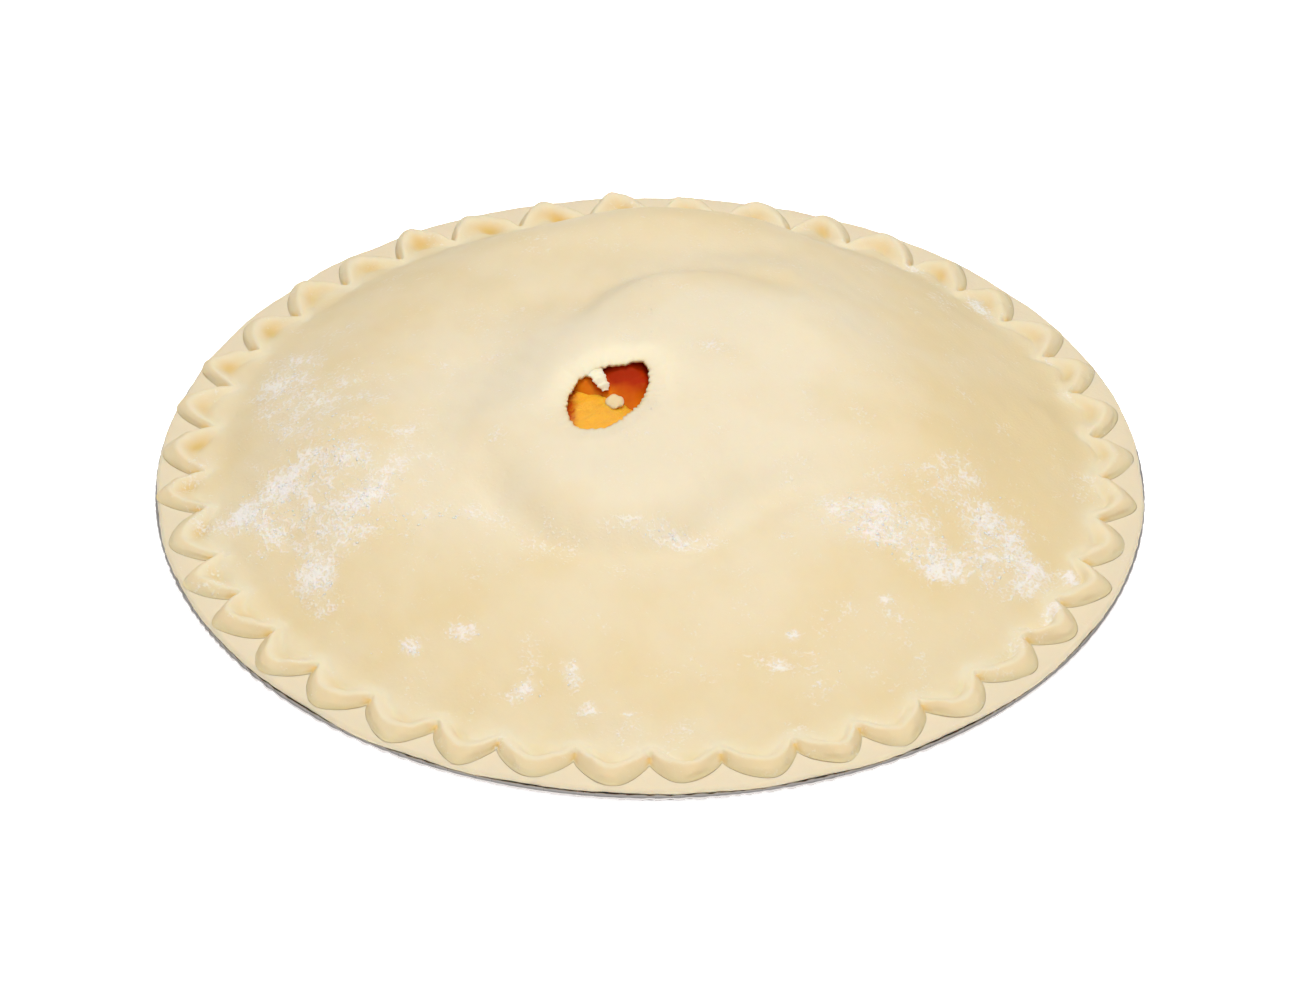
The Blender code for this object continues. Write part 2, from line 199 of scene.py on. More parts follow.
# Flour left on the dough: x, y, half length, half width, turn in degrees, share covered
FLOUR = (
    (-0.73, 0.21, 0.138, 0.064, 83, 0.55),
    (-0.64, -0.20, 0.200, 0.130, 35, 0.42),
    (-0.66, 0.06, 0.150, 0.090, 60, 0.34),
    (-0.62, -0.09, 0.050, 0.046, 57, 0.55),
    (-0.73, -0.15, 0.098, 0.047, 28, 1.00),
    (-0.79, -0.20, 0.045, 0.027, -59, 0.85),
    (-0.70, -0.22, 0.044, 0.029, -21, 0.70),
    (-0.57, -0.24, 0.065, 0.040, 44, 0.85),
    (-0.65, -0.41, 0.070, 0.033, -80, 0.95),
    (-0.74, -0.27, 0.051, 0.022, -45, 0.55),
    (-0.58, -0.32, 0.065, 0.032, -25, 0.35),
    (-0.41, -0.30, 0.095, 0.029, 1, 0.45),
    (-0.46, -0.63, 0.029, 0.018, -23, 0.80),
    (-0.53, -0.63, 0.020, 0.016, -51, 0.55),
    (-0.36, -0.61, 0.044, 0.019, -12, 0.40),
    (-0.24, -0.75, 0.032, 0.019, 16, 0.95),
    (-0.15, -0.72, 0.027, 0.021, -83, 1.00),
    (-0.11, -0.80, 0.019, 0.013, -4, 0.70),
    (-0.04, -0.81, 0.012, 0.008, -1, 0.50),
    (0.05, -0.38, 0.087, 0.023, -9, 0.60),
    (0.27, -0.38, 0.018, 0.014, 11, 0.60),
    (0.28, -0.62, 0.016, 0.014, 36, 0.75),
    (0.25, -0.69, 0.016, 0.014, 34, 0.70),
    (0.45, -0.32, 0.101, 0.063, -23, 1.00),
    (0.69, -0.30, 0.091, 0.070, 80, 0.85),
    (0.58, -0.38, 0.076, 0.047, 2, 0.65),
    (0.75, -0.36, 0.060, 0.039, 73, 0.65),
    (0.59, -0.19, 0.126, 0.074, -25, 0.42),
    (0.46, -0.51, 0.015, 0.010, 32, 0.55),
    (0.79, -0.45, 0.040, 0.020, 52, 0.85),
    (0.83, -0.34, 0.023, 0.016, 84, 0.80),
    (0.56, 0.70, 0.042, 0.020, -55, 0.55),
    (0.68, 0.58, 0.043, 0.019, -59, 0.55),
    (0.61, 0.56, 0.081, 0.026, 86, 0.28),
    (0.82, 0.40, 0.024, 0.014, -79, 0.50),
    (0.85, 0.26, 0.025, 0.013, -81, 0.45),
    (-0.18, -0.40, 0.118, 0.072, 0, 0.12),
    (0.41, -0.63, 0.120, 0.062, 16, 0.14),
)
# Painted shade: patches where the dough is painted darker and yellower in the butter colour, in the
# grooves and on shaded slopes; a negative share paints it lighter, as painted light: x, y, half
# length, half width, turn in degrees, share, sharpness
PAINTED_SHADE_PATCHES = (
    (0.62, 0.02, 0.34, 0.22, 75, 0.36, 1.0),
    (-0.80, -0.05, 0.14, 0.45, 0, -0.15, 1.0),
    (0.55, -0.20, 0.30, 0.20, -40, 0.15, 1.0),
    (0.02, 0.40, 0.34, 0.09, 8, 0.38, 1.0),
    (-0.12, -0.43, 0.30, 0.10, 4, 0.38, 1.0),
    (0.0, 0.70, 0.66, 0.16, 0, -0.08, 1.0),
    (0.83, -0.02, 0.10, 0.40, 0, 0.28, 1.0),
    (0.0, -0.86, 0.40, 0.08, 0, -0.22, 1.0),
)
# Other slices under the syrup: x, y, half length, half width, turn, height, sharpness; in mm
FRUIT_LUMPS = (
    (-2.5, 12.5, 13.0, 8.5, 52.0, 7.8, 1.6),
    (8.0, 3.7, 12.0, 6.0, 70.0, 4.0, 1.6),
    (-11.5, 13.5, 7.0, 4.5, 0.0, 3.5, 1.6),
    (-19.8, 11.2, 8.6, 4.4, -40.0, 8.2, 1.6),
)
# Painted light: where one of them is painted in the light syrup colour, though it lies in shade, in
# the same terms; the height is a share
PAINTED_LIGHT_LUMP = (-19.8, 11.2, 10.32, 5.28, -40.0, 1.7, 1.6)
# The flap of torn dough that hangs from the vent's edge onto the fruit: x, y, z, half width
# in mm, from its root to its tip
STRIP = (
    (-17.0, 11.9, 53.4, 2.2),
    (-15.6, 10.4, 54.9, 2.3),
    (-14.3, 8.9, 55.6, 2.2),
    (-13.1, 7.5, 55.5, 2.0),
    (-12.2, 6.3, 54.8, 1.7),
    (-11.5, 5.2, 53.9, 1.4),
    (-11.1, 4.4, 53.2, 0.7),
)
# Lump of dough on the fruit below the flap: x, y, z, half sizes in mm
CRUMB = (-8.8, 1.7, 51.8, 2.3, 2.7, 0.9)


def linear(hex_colour):
    """An sRGB hex colour as linear red, green and blue."""
    parts = [int(hex_colour[i:i + 2], 16) / 255.0 for i in (0, 2, 4)]
    return [c / 12.92 if c <= 0.04045 else ((c + 0.055) / 1.055) ** 2.4 for c in parts]


# ---------- Settings that a user would change ----------
def colour_setting(name, description, hex_colour):
    """A colour picker whose default is an sRGB hex value."""
    return bpy.props.FloatVectorProperty(name=name, description=description, size=3, min=0.0,
                                         max=1.0, subtype="COLOR", default=linear(hex_colour))


def number_setting(name, description, default, **limits):
    """A number."""
    return bpy.props.FloatProperty(name=name, description=description, default=default, **limits)


def length_setting(name, description, default):
    """A length in metres."""
    return number_setting(name, description, default, min=0.0, precision=5, subtype="DISTANCE",
                          unit="LENGTH")


def share_setting(name, description, default):
    """A share from 0 to 1."""
    return number_setting(name, description, default, min=0.0, max=1.0, subtype="FACTOR")


def angle_setting(name, description, default):
    """An angle in radians."""
    return number_setting(name, description, default, subtype="ANGLE", unit="ROTATION")


def power_setting(name, description, default):
    """A lamp's power in watts."""
    return number_setting(name, description, default, min=0.0, subtype="POWER", unit="POWER")


def count_setting(name, description, default, most):
    """A whole number."""
    return bpy.props.IntProperty(name=name, description=description, default=default, min=0,
                                 max=most)


class PeachPieDough(bpy.types.PropertyGroup):
    """The raw dough and the flour on it."""
    colour: colour_setting("Dough", "Raw shortcrust pastry", "EBDDC0")
    # Painted shade: this colour paints the dough darker where shade falls, low on the dome and in
    # the grooves, besides where butter shows
    butter_and_shade: colour_setting("Buttery dough", "Where more butter shows, low on the dome", "E6D0A2")
    # Painted light: the fluted edge is painted in this lighter colour, standing in for light on its
    # crests
    ridge: colour_setting("Ridge", "Handled dough along the fluted edge", "EBE0C4")
    # Painted shade: this colour is painted deep in the lobes, in the thumb marks, in the nicks at
    # the corners and on the flutes' outer walls
    crease: colour_setting("Crease", "Dough deep in the pinches", "DEB668")
    trim: colour_setting("Trimmed edge", "Dense dough of the bottom crust's shelf", "E6D6B8")
    # Painted light in part: this paler colour round the vent and on the torn strip stands in for
    # light as well as thin dough
    thin: colour_setting("Thin dough", "Dough pulled thin round the vent", "FFF2D2")
    flour: colour_setting("Flour", "Dry flour left on the dough", "F6EFE8")
    roughness: share_setting("Roughness", "How matte the dough is", 0.62)
    uneven: length_setting("Unevenness", "Height of the slow waves in the dough", 0.35 * MM)
    rolled: length_setting("Rolling marks", "Height of the finer waves", 0.09 * MM)
    grain: length_setting("Grain", "Distance between grains of the dough", 0.9 * MM)
    glow: length_setting("Glow", "How far light travels in the dough", 2.2 * MM)
    clumps: count_setting("Flour clumps", "Number of loose clumps of flour", 1800, 9000)
    clump: length_setting("Clump size", "Largest half width of a flour clump", 0.34 * MM)


class PeachPieTin(bpy.types.PropertyGroup):
    """The foil tin."""
    colour: colour_setting("Foil", "Bright side of aluminium foil", "C0BBB8")
    roughness: share_setting("Roughness", "How blurred the foil's reflections are", 0.28)
    pleats: count_setting("Pleats", "Number of even pleats round the wall", 128, 300)
    pleat: length_setting("Pleat depth", "Half the depth of an even pleat", 0.45 * MM)
    dents: count_setting("Dents", "Number of uneven pleats among the even ones", 70, 300)
    dent: length_setting("Dent depth", "Depth of the deepest uneven pleat", 0.6 * MM)
    crinkle: length_setting("Lip crinkle", "Depth of the crinkles in the rolled lip", 0.16 * MM)


class PeachPieFruit(bpy.types.PropertyGroup):
    """What shows in the steam vent."""
    syrup: colour_setting("Syrup", "Thickened peach syrup", "E67812")
    # Painted shade: this darker syrup colour stands in for the shade under the lid, towards the
    # back of the vent
    deep: colour_setting("Deep syrup", "Syrup where it is thick", "AE2C05")
    flesh: colour_setting("Peach flesh", "Cut face of a peach slice", "F3B232")
    # Painted shade in part: the slice's shaded ends are painted in this colour too
    blush: colour_setting("Peach blush", "Flesh that lay next to the stone", "B44404")
    wetness: share_setting("Wetness", "Strength of the wet coat", 0.18)


class PeachPieStage(bpy.types.PropertyGroup):
    """Camera, light and floor."""
    elevation: angle_setting("Elevation", "Camera above the table", 36.98 * DEG)
    distance: length_setting("Distance", "Camera to the middle of the pie", 1.722)
    lens: number_setting("Lens", "Focal length in millimetres", 193.7, min=20.0, max=400.0)
    roll: angle_setting("Roll", "Camera turned about its view", 0.44 * DEG)
    key: power_setting("Overhead light", "Power of the soft box above", 10.4)
    front: power_setting("Front light", "Power of the front soft box", 4.8)
    box: length_setting("Soft box", "Width of both soft boxes", 0.5)
    sky: share_setting("Sky", "Light from all round", 0.10)
    tent_foot: share_setting("Tent foot", "Brightness reflected from low down", 0.15)
    tent_top: number_setting("Tent top", "Brightness reflected from above", 0.8, min=0.0)
    glow: share_setting("Floor glow", "Light of the backlit floor", 0.82)
    floor: colour_setting("Floor", "Plain pale floor", "F4F4F4")


GROUPS = {
    "peach_pie_dough": PeachPieDough,
    "peach_pie_tin": PeachPieTin,
    "peach_pie_fruit": PeachPieFruit,
    "peach_pie_stage": PeachPieStage,
}


# ---------- Shape of the dough ----------
RIPPLE_WAVES = 9
RIPPLE_SPREAD = (0.7, 1.4)
# Unevenness of each surface: height (1 where a setting gives it), distance between humps, seed
RIPPLES = {
    "slow": (1.0, 26.0 * MM, 3),
    "rolled": (1.0, 8.0 * MM, 5),
    "ridge": (FLUTE_SWAY, 13.0 * MM, 22),
    "pinched": (0.20 * MM, 7.0 * MM, 21),
    "handled": (0.07 * MM, 2.4 * MM, 23),
    "cut": (0.45 * MM, 30.0 * MM, 31),
    "cut finely": (0.12 * MM, 5.0 * MM, 32),
    "shelf": (MM, 11.0 * MM, 33),
    "syrup": (0.25 * MM, 6.0 * MM, 41),
    "flesh": (0.25 * MM, 4.0 * MM, 51),
    "torn": (0.12 * MM, 1.6 * MM, 61),
    "sifted": (0.9, 3.5 * MM, 71),
}
TEAR_WAVES = ((0.5, 16.0, 2.5708), (-0.5, 30.0, 2.5708), (0.7, 41.0, 0.0))
CROWN_POWER = 1.3
DROOP_POWER = 1.3
TEAR_LIFT = 0.28 * MM  # the dough rises this much beyond the droop
TEAR_LIFT_AT = 2.2 * TEAR_REACH
FLOUR_SPREAD = 0.9  # how soon a patch of flour thins, and how sharply it ends
FLOUR_EDGE = 1.4


def ease(value, start=0.0, end=1.0):
    """Ease from 0 at the start to 1 at the end."""
    t = np.clip((value - start) / (end - start), 0.0, 1.0)
    return t * t * t * (t * (6.0 * t - 15.0) + 10.0)


def hump(value, middle, width):
    """A bell, 1 high in the middle."""
    return np.exp(-((value - middle) / width) ** 2)


def waves(angle, rows):
    """A sum of waves, from the height, number and phase of each."""
    return sum(height * np.sin(count * angle + phase) for height, count, phase in rows)


def sided(bearing, level, swing, side):
    """A value that is highest on one side, from its mean, its swing and that side's bearing."""
    return level + swing * np.cos(bearing - side)


def turned(bearing, middle):
    """Degrees between two bearings."""
    return np.abs((bearing - middle + 180.0) % 360.0 - 180.0)


def ripple(x, y, name):
    """Smooth random unevenness."""
    height, pitch, seed = RIPPLES[name]
    draw = random.Random(seed)
    total = np.zeros_like(x)
    for _ in range(RIPPLE_WAVES):
        turn = draw.uniform(0.0, TURN)
        wave = TURN / (pitch * draw.uniform(*RIPPLE_SPREAD))
        phase = draw.uniform(0.0, TURN)
        total += np.sin((x * math.cos(turn) + y * math.sin(turn)) * wave + phase)
    return height * total / math.sqrt(RIPPLE_WAVES)


def oval(x, y, patch):
    """Squared distance from a patch's centre, 1 at its edge."""
    px, py, length, width, turn = patch[:5]
    cos_t = math.cos(turn * DEG)
    sin_t = math.sin(turn * DEG)
    along = ((x - px) * cos_t + (y - py) * sin_t) / length
    across = ((y - py) * cos_t - (x - px) * sin_t) / width
    return along ** 2 + across ** 2


def bump(x, y, patch):
    """A rounded hill on an oval patch."""
    return patch[5] * np.exp(-oval(x, y, patch) ** patch[6])


def hills(x, y, patches):
    """All the hills of a list."""
    return sum(bump(x, y, patch) for patch in patches)


def sag(x, y, patch):
    """A dip along part of a circle."""
    px, py, radius, start, end, width, depth = patch
    off = turned(np.arctan2(y - py, x - px) / DEG, (start + end) / 2.0)
    half = abs(end - start) / 2.0
    run_out = ease(off, half + SAG_FADE / 2.0, half - SAG_FADE / 2.0)
    return -depth * hump(np.hypot(x - px, y - py), radius, width) * run_out


def fold(x, y, patch):
    """A low ridge along a straight line."""
    x0, y0, x1, y1, width, height = patch
    dx, dy = x1 - x0, y1 - y0
    part = np.clip(((x - x0) * dx + (y - y0) * dy) / (dx * dx + dy * dy), 0.0, 1.0)
    return height * hump(np.hypot(x - x0 - part * dx, y - y0 - part * dy), 0.0, width)


def by_side(index, bearing):
    """A value of the four sides, blended round the pie."""
    cos_b = np.cos(bearing)
    sin_b = np.sin(bearing)
    lengthwise = np.where(sin_b > 0.0, BACK[index], FRONT[index])
    crosswise = np.where(cos_b > 0.0, RIGHT[index], LEFT[index])
    return lengthwise * sin_b ** 2 + crosswise * cos_b ** 2


def dome_height(x_m, y_m):
    """Height of the lid's upper face over the table, without the unevenness of the dough."""
    x = x_m / LIP_RADIUS
    y = y_m / LIP_RADIUS
    radius = np.hypot(x, y)
    bearing = np.arctan2(y, x)
    foot = by_side(0, bearing)
    inside = np.maximum(0.0, foot - radius)
    run = inside / by_side(1, bearing)
    k = SHOULDER_TIGHTNESS
    ramp = run - np.log1p(np.exp(k * (run - 1.0))) / k + math.log1p(math.exp(-k)) / k
    rise = STEP + (by_side(2, bearing) - STEP) * ease(radius, 0.0, STEP_REACH)
    swell = CROWN * np.maximum(0.0, 1.0 - (radius / foot) ** 2) ** CROWN_POWER
    mound = sum(bump(x, y, patch) ** MOUND_BLEND for patch in MOUND) ** (1.0 / MOUND_BLEND)
    relief = hills(x, y, SWELLS) + SAG_DEEPER * sum(sag(x, y, patch) for patch in SAGS)
    relief = relief + sum(fold(x, y, patch) for patch in FOLDS)
    height = VALLEY + rise * ramp + swell + mound * ease(inside, 0.0, MOUND_FADE)
    return TIN_DEPTH + LIP_RADIUS * (height + relief * ease(inside, 0.0, SWELL_FADE))


def vent_edge(bearing):
    """Distance from the vent's centre to its torn edge."""
    bearings = [b * DEG for b, _ in VENT_EDGE]
    distances = [d * MM for _, d in VENT_EDGE]
    edge = np.interp(bearing, bearings, distances, period=TURN)
    return edge + TEAR_RAGGED * waves(bearing, TEAR_WAVES)


def vent_gap(x, y):
    """Distance outside the vent's edge."""
    dx = x - VENT_X
    dy = y - VENT_Y
    return np.hypot(dx, dy) - vent_edge(np.arctan2(dy, dx))


def dough_height(x, y, dough):
    """Height of the lid's upper face with the unevenness of rolled dough."""
    gap = np.maximum(0.0, vent_gap(x, y))
    droop = TEAR_DROOP * np.exp(-(gap / TEAR_REACH) ** DROOP_POWER)
    lift = TEAR_LIFT * hump(gap, TEAR_LIFT_AT, TEAR_REACH)
    uneven = dough.uneven * ripple(x, y, "slow") + dough.rolled * ripple(x, y, "rolled")
    return dome_height(x, y) + uneven + lift - droop


def flour_share(x, y):
    """Share of the dough that flour covers."""
    x = x / LIP_RADIUS
    y = y / LIP_RADIUS
    bare = 1.0
    for patch in FLOUR:
        bare = bare * (1.0 - patch[5] * np.exp(-FLOUR_SPREAD * oval(x, y, patch) ** FLOUR_EDGE))
    return 1.0 - bare


def flute_columns(steps):
    """Bearing, part of the flute, lobe share, reach, crest offset and flute of each column."""
    draw = random.Random(FLUTE_SEED)
    pitch = TURN / FLUTES
    corners = [i * pitch + draw.uniform(-BEARING_JITTER, BEARING_JITTER) for i in range(FLUTES)]
    reaches = np.array([draw.uniform(-REACH_JITTER, REACH_JITTER) for _ in range(FLUTES)])
    crests = [draw.uniform(-CREST_JITTER, CREST_JITTER) for _ in range(FLUTES)]
    skews = np.array([draw.uniform(-FLUTE_SKEW, FLUTE_SKEW) for _ in range(FLUTES)])
    corners = np.array([*corners, corners[0] + TURN])
    crests = np.array([*crests, crests[0]])
    flute = np.repeat(np.arange(FLUTES), steps)
    part = np.tile(np.arange(steps) / steps, FLUTES)
    leant = part + skews[flute] * np.sin(math.pi * part) ** 2
    lobe = np.sin(math.pi * leant) ** FLUTE_SHARPNESS
    return {"bearing": corners[flute] + (corners[flute + 1] - corners[flute]) * part,
            "part": part, "lobe": lobe, "reach": 1.0 + reaches[flute] * lobe, "flute": flute,
            "crest": crests[flute] + (crests[flute + 1] - crests[flute]) * part}


def catmull(rows, t):
    """A smooth curve through evenly spaced rows of numbers."""
    rows = np.array(rows)
    i = int(min(max(math.floor(t), 0), len(rows) - 2))
    f = t - i
    before = rows[i - 1] if i > 0 else 2.0 * rows[0] - rows[1]
    after = rows[i + 2] if i + 2 < len(rows) else 2.0 * rows[-1] - rows[-2]
    a, b = rows[i], rows[i + 1]
    return 0.5 * (2.0 * a + (b - before) * f + (2.0 * before - 5.0 * a + 4.0 * b - after) * f ** 2
                  + (3.0 * a - before - 3.0 * b + after) * f ** 3)


class Shell:
    """A mesh made of rings, with a value for each named layer at every point."""

    def __init__(self, layers=()):
        self.points = []
        self.faces = []
        self.layers = {name: [] for name in layers}
        self.count = 0

    def ring(self, x, y, z, **values):
        """Add a ring and return its point numbers."""
        x, y, z = np.broadcast_arrays(x, y, z)
        self.points.append(np.stack((x, y, z), axis=1))
        for name, layer in self.layers.items():
            layer.append(np.broadcast_to(values.get(name, 0.0), x.shape))
        self.count += len(x)
        return list(range(self.count - len(x), self.count))

    def circle(self, bearing, radius, z, **values):
        """Add a ring round the pie's axis."""
        return self.ring(radius * np.cos(bearing), radius * np.sin(bearing), z, **values)

    def band(self, first, second):
        """Join two rings; the second has as many points as the first, or twice as many."""
        n = len(first)
        if len(second) == n:
            for i in range(n):
                j = (i + 1) % n
                self.faces.append((first[i], second[i], second[j], first[j]))
            return
        for i in range(n):
            a, b = first[i], first[(i + 1) % n]
            c, d, e = second[2 * i], second[2 * i + 1], second[(2 * i + 2) % len(second)]
            self.faces += [(a, c, d), (a, d, b), (b, d, e)]

    def bands(self, rings):
        """Join each ring to the next."""
        for first, second in zip(rings, rings[1:]):
            if len(second) < len(first):
                start = len(self.faces)
                self.band(second, first)
                self.faces[start:] = [face[::-1] for face in self.faces[start:]]
            else:
                self.band(first, second)

    def cap(self, ring, x, y, z, outward=True, **values):
        """Close a ring with a fan to one point."""
        tip = self.ring(np.array([x]), np.array([y]), np.array([z]), **values)[0]
        for i in range(len(ring)):
            face = (ring[i], ring[(i + 1) % len(ring)], tip)
            self.faces.append(face if outward else face[::-1])

    def build(self, name, material, turn_over=False):
        """Make the object, with its faces turned over if they look inwards."""
        mesh = bpy.data.meshes.new(name)
        faces = [face[::-1] for face in self.faces] if turn_over else self.faces
        mesh.from_pydata(np.concatenate(self.points).tolist(), [], faces)
        for layer, values in self.layers.items():
            data = mesh.attributes.new(layer, "FLOAT", "POINT").data
            data.foreach_set("value", np.concatenate(values).astype(np.float32))
        mesh.polygons.foreach_set("use_smooth", [True] * len(mesh.polygons))
        mesh.materials.append(material)
        mesh.update()
        piece = bpy.data.objects.new(name, mesh)
        bpy.context.scene.collection.objects.link(piece)
        return piece


def place(piece, slot, *nodes):
    """Fix a piece to the pie and hide the solids it stands for; its slot is not used."""
    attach(piece, "root")
    if nodes:
        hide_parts(*nodes)


# ---------- Finishes ----------
SMOOTH = {"interpolation_type": "SMOOTHSTEP"}
COLOUR_MIX = {"data_type": "RGBA"}


def set_inputs(node, inputs):
    """Set or link a node's inputs, given by name or in order."""
    for socket, value in inputs.items() if isinstance(inputs, dict) else enumerate(inputs):
        if isinstance(value, bpy.types.NodeSocket):
            node.id_data.links.new(value, node.inputs[socket])
        else:
            node.inputs[socket].default_value = value


def add_node(tree, kind, inputs=(), output=0, **settings):
    """Add a shader node with its settings and inputs, and return one of its outputs."""
    node = tree.nodes.new("ShaderNode" + kind)
    for name, value in settings.items():
        setattr(node, name, value)
    set_inputs(node, inputs)
    return node.outputs[output]


def new_material(name):
    """An empty material, what adds its nodes, its shader, and the place on the piece."""
    material = bpy.data.materials.new(name)
    material.use_nodes = True
    add = functools.partial(add_node, material.node_tree)
    shader = material.node_tree.nodes["Principled BSDF"]
    return material, add, shader, add("TexCoord", (), "Object")


def rgba(colour):
    """A colour setting as a shader takes it."""
    return (colour[0], colour[1], colour[2], 1.0)


def raw_dough(dough):
    """Raw shortcrust pastry, rolled and floured: matte, rich in butter, a little translucent, with
    painted shade and painted light in its colour.
    """
    material, add, shader, where = new_material("raw_shortcrust_dough")
    layers = {name: add("Attribute", (), "Fac", attribute_name=name) for name in LID_LAYERS}
    round_edge = add("Math", (layers["along"], 0.6), operation="MULTIPLY")
    polar = add("CombineXYZ", (round_edge, layers["outward"]))
    # Butter is not spread evenly: faint patches about 20 mm across. Flour drifts over 9 mm, lies
    # in 2.6 mm curls that follow the rolling pin round the edge, and has a 0.8 mm speckle
    noise = {name: add("TexNoise", {"Vector": vector, "Scale": 1.0 / pitch, "Detail": detail})
             for name, vector, pitch, detail in (
                 ("butter", where, 20.0 * MM, 3.0), ("curl", polar, 2.6 * MM, 3.0),
                 ("drift", where, 9.0 * MM, 2.0), ("speckle", where, 0.8 * MM, 3.0),
                 ("grain", where, dough.grain, 3.0))}
    patchy = add("MapRange", (noise["butter"], 0.35, 0.75, -0.15, 0.25), **SMOOTH)
    # Painted shade: the layer paints the dough darker and yellower toward the dome's foot and in
    # the grooves; the noise adds patches of butter
    butter_and_shade_share = add("Math", (layers["butter_and_shade"], patchy), operation="ADD")
    # Painted light: the fluted edge is painted lighter, for the light on its crests
    ridge = add("Math", (layers["ridge"], 0.6), operation="MULTIPLY")
    aside = add("Math", (noise["curl"], 0.5), operation="SUBTRACT")
    aside = add("Math", (aside,), operation="ABSOLUTE")
    lace = add("MapRange", (aside, 0.0, 0.11, 1.0, 0.0), **SMOOTH)
    # Grains stick where the flour is thick and the speckle high; a thin veil lies round them
    cover = 0.0
    for source, share in ((layers["flour"], 0.30), (lace, 0.15), (noise["speckle"], 0.70),
                          (noise["drift"], 0.70)):
        cover = add("Math", (source, share, cover), operation="MULTIPLY_ADD")
    grains = add("MapRange", (cover, 0.90, 1.18, 0.0, 0.64), **SMOOTH)
    dusted = add("Math", (noise["drift"], 1.1, layers["flour"]), operation="MULTIPLY_ADD")
    veil = add("MapRange", (dusted, 0.80, 1.70, 0.0, 0.26), **SMOOTH)
    floured = add("Math", (grains, veil), operation="ADD")
    colour = rgba(dough.colour)
    # Mixed over the dough: butter with painted shade, painted light on the fluted edge, the trimmed
    # edge, painted shade in the creases, the pale ring with painted light, and the flour
    for share, over in ((butter_and_shade_share, dough.butter_and_shade), (ridge, dough.ridge), (layers["trim"], dough.trim),
                        (layers["crease"], dough.crease), (layers["pale"], dough.thin),
                        (floured, dough.flour)):
        colour = add("Mix", {0: share, 6: colour, 7: rgba(over)}, 2, **COLOUR_MIX)
    # The dry flour is rougher than the dough and has a thickness; the dough has a fine grain
    rough = add("Math", (floured, 0.3, dough.roughness), operation="MULTIPLY_ADD")
    grain = add("Math", (noise["grain"], 0.10 * MM), operation="MULTIPLY")
    thick = add("Math", (noise["speckle"], 0.35 * MM), operation="MULTIPLY")
    relief = add("Math", (floured, thick, grain), operation="MULTIPLY_ADD")
    set_inputs(shader, {
        "Base Color": colour, "Roughness": rough, "IOR": 1.42, "Specular IOR Level": 0.25,
        "Subsurface Weight": 0.35, "Subsurface Radius": (1.0, 0.62, 0.30),
        "Subsurface Scale": dough.glow,
        "Normal": add("Bump", {"Height": relief, "Distance": 1.0, "Strength": 0.8})})
    return material


def dry_flour(dough):
    """Plain wheat flour, sifted: a white powder with no shine and a 0.3 mm grain."""
    material, add, shader, where = new_material("dry_wheat_flour")
    powder = add("TexNoise", {"Vector": where, "Scale": 1.0 / (0.3 * MM), "Detail": 2.0})
    set_inputs(shader, {
        "Base Color": rgba(dough.flour), "Roughness": 0.95, "Specular IOR Level": 0.1,
        "Subsurface Weight": 0.2, "Subsurface Scale": 0.4 * MM,
        "Normal": add("Bump", {"Height": powder, "Distance": 0.08 * MM})})
    return material


def pressed_foil(tin):
    """Aluminium foil, pressed: bright metal with soft reflections and fine rolling lines."""
    material, add, shader, where = new_material("pressed_aluminium_foil")
    # The foil's rolling lines are far finer; drawn 0.6 mm apart so that they show
    lines = add("Mapping", {"Vector": where, "Scale": (1.0 / (0.6 * MM), 1.0 / (20.0 * MM), 60.0)})
    rolled = add("TexNoise", {"Vector": lines, "Scale": 1.0, "Detail": 2.0})
    rough = add("MapRange", (rolled, 0.0, 1.0, tin.roughness - 0.06, tin.roughness + 0.10))
    # Handling leaves shallow dents about 3 mm across
    dents = add("TexNoise", {"Vector": where, "Scale": 1.0 / (3.0 * MM), "Detail": 3.0})
    set_inputs(shader, {
        "Base Color": rgba(tin.colour), "Metallic": 1.0, "Roughness": rough,
        "Normal": add("Bump", {"Height": dents, "Distance": 0.25 * MM, "Strength": 0.7})})
    return material


def peach_syrup(fruit):
    """Thickened peach syrup, cooked: deep orange, clear and wet."""
    material, add, shader, where = new_material("thickened_peach_syrup")
    deep = add("Attribute", (), "Fac", attribute_name="deep")
    # The syrup clouds over about 6 mm, and is painted darker towards the back, where shade falls
    # under the lid
    cloud = add("TexNoise", {"Vector": where, "Scale": 1.0 / (6.0 * MM), "Detail": 3.0})
    uneven = add("Math", (cloud, deep), operation="SUBTRACT")
    share = add("MapRange", (uneven, -0.4, 0.5))
    colour = add("Mix", {0: share, 6: rgba(fruit.deep), 7: rgba(fruit.syrup)}, 2, **COLOUR_MIX)
    set_inputs(shader, {
        "Base Color": colour, "Roughness": 0.25, "IOR": 1.42, "Specular IOR Level": 0.12,
        "Subsurface Weight": 0.5, "Subsurface Radius": (1.0, 0.25, 0.05),
        "Subsurface Scale": 9.0 * MM,
        "Coat Weight": 0.25 * fruit.wetness, "Coat Roughness": 0.06,
        "Normal": add("Bump", {"Height": cloud, "Distance": 0.8 * MM, "Strength": 0.6})})
    return material


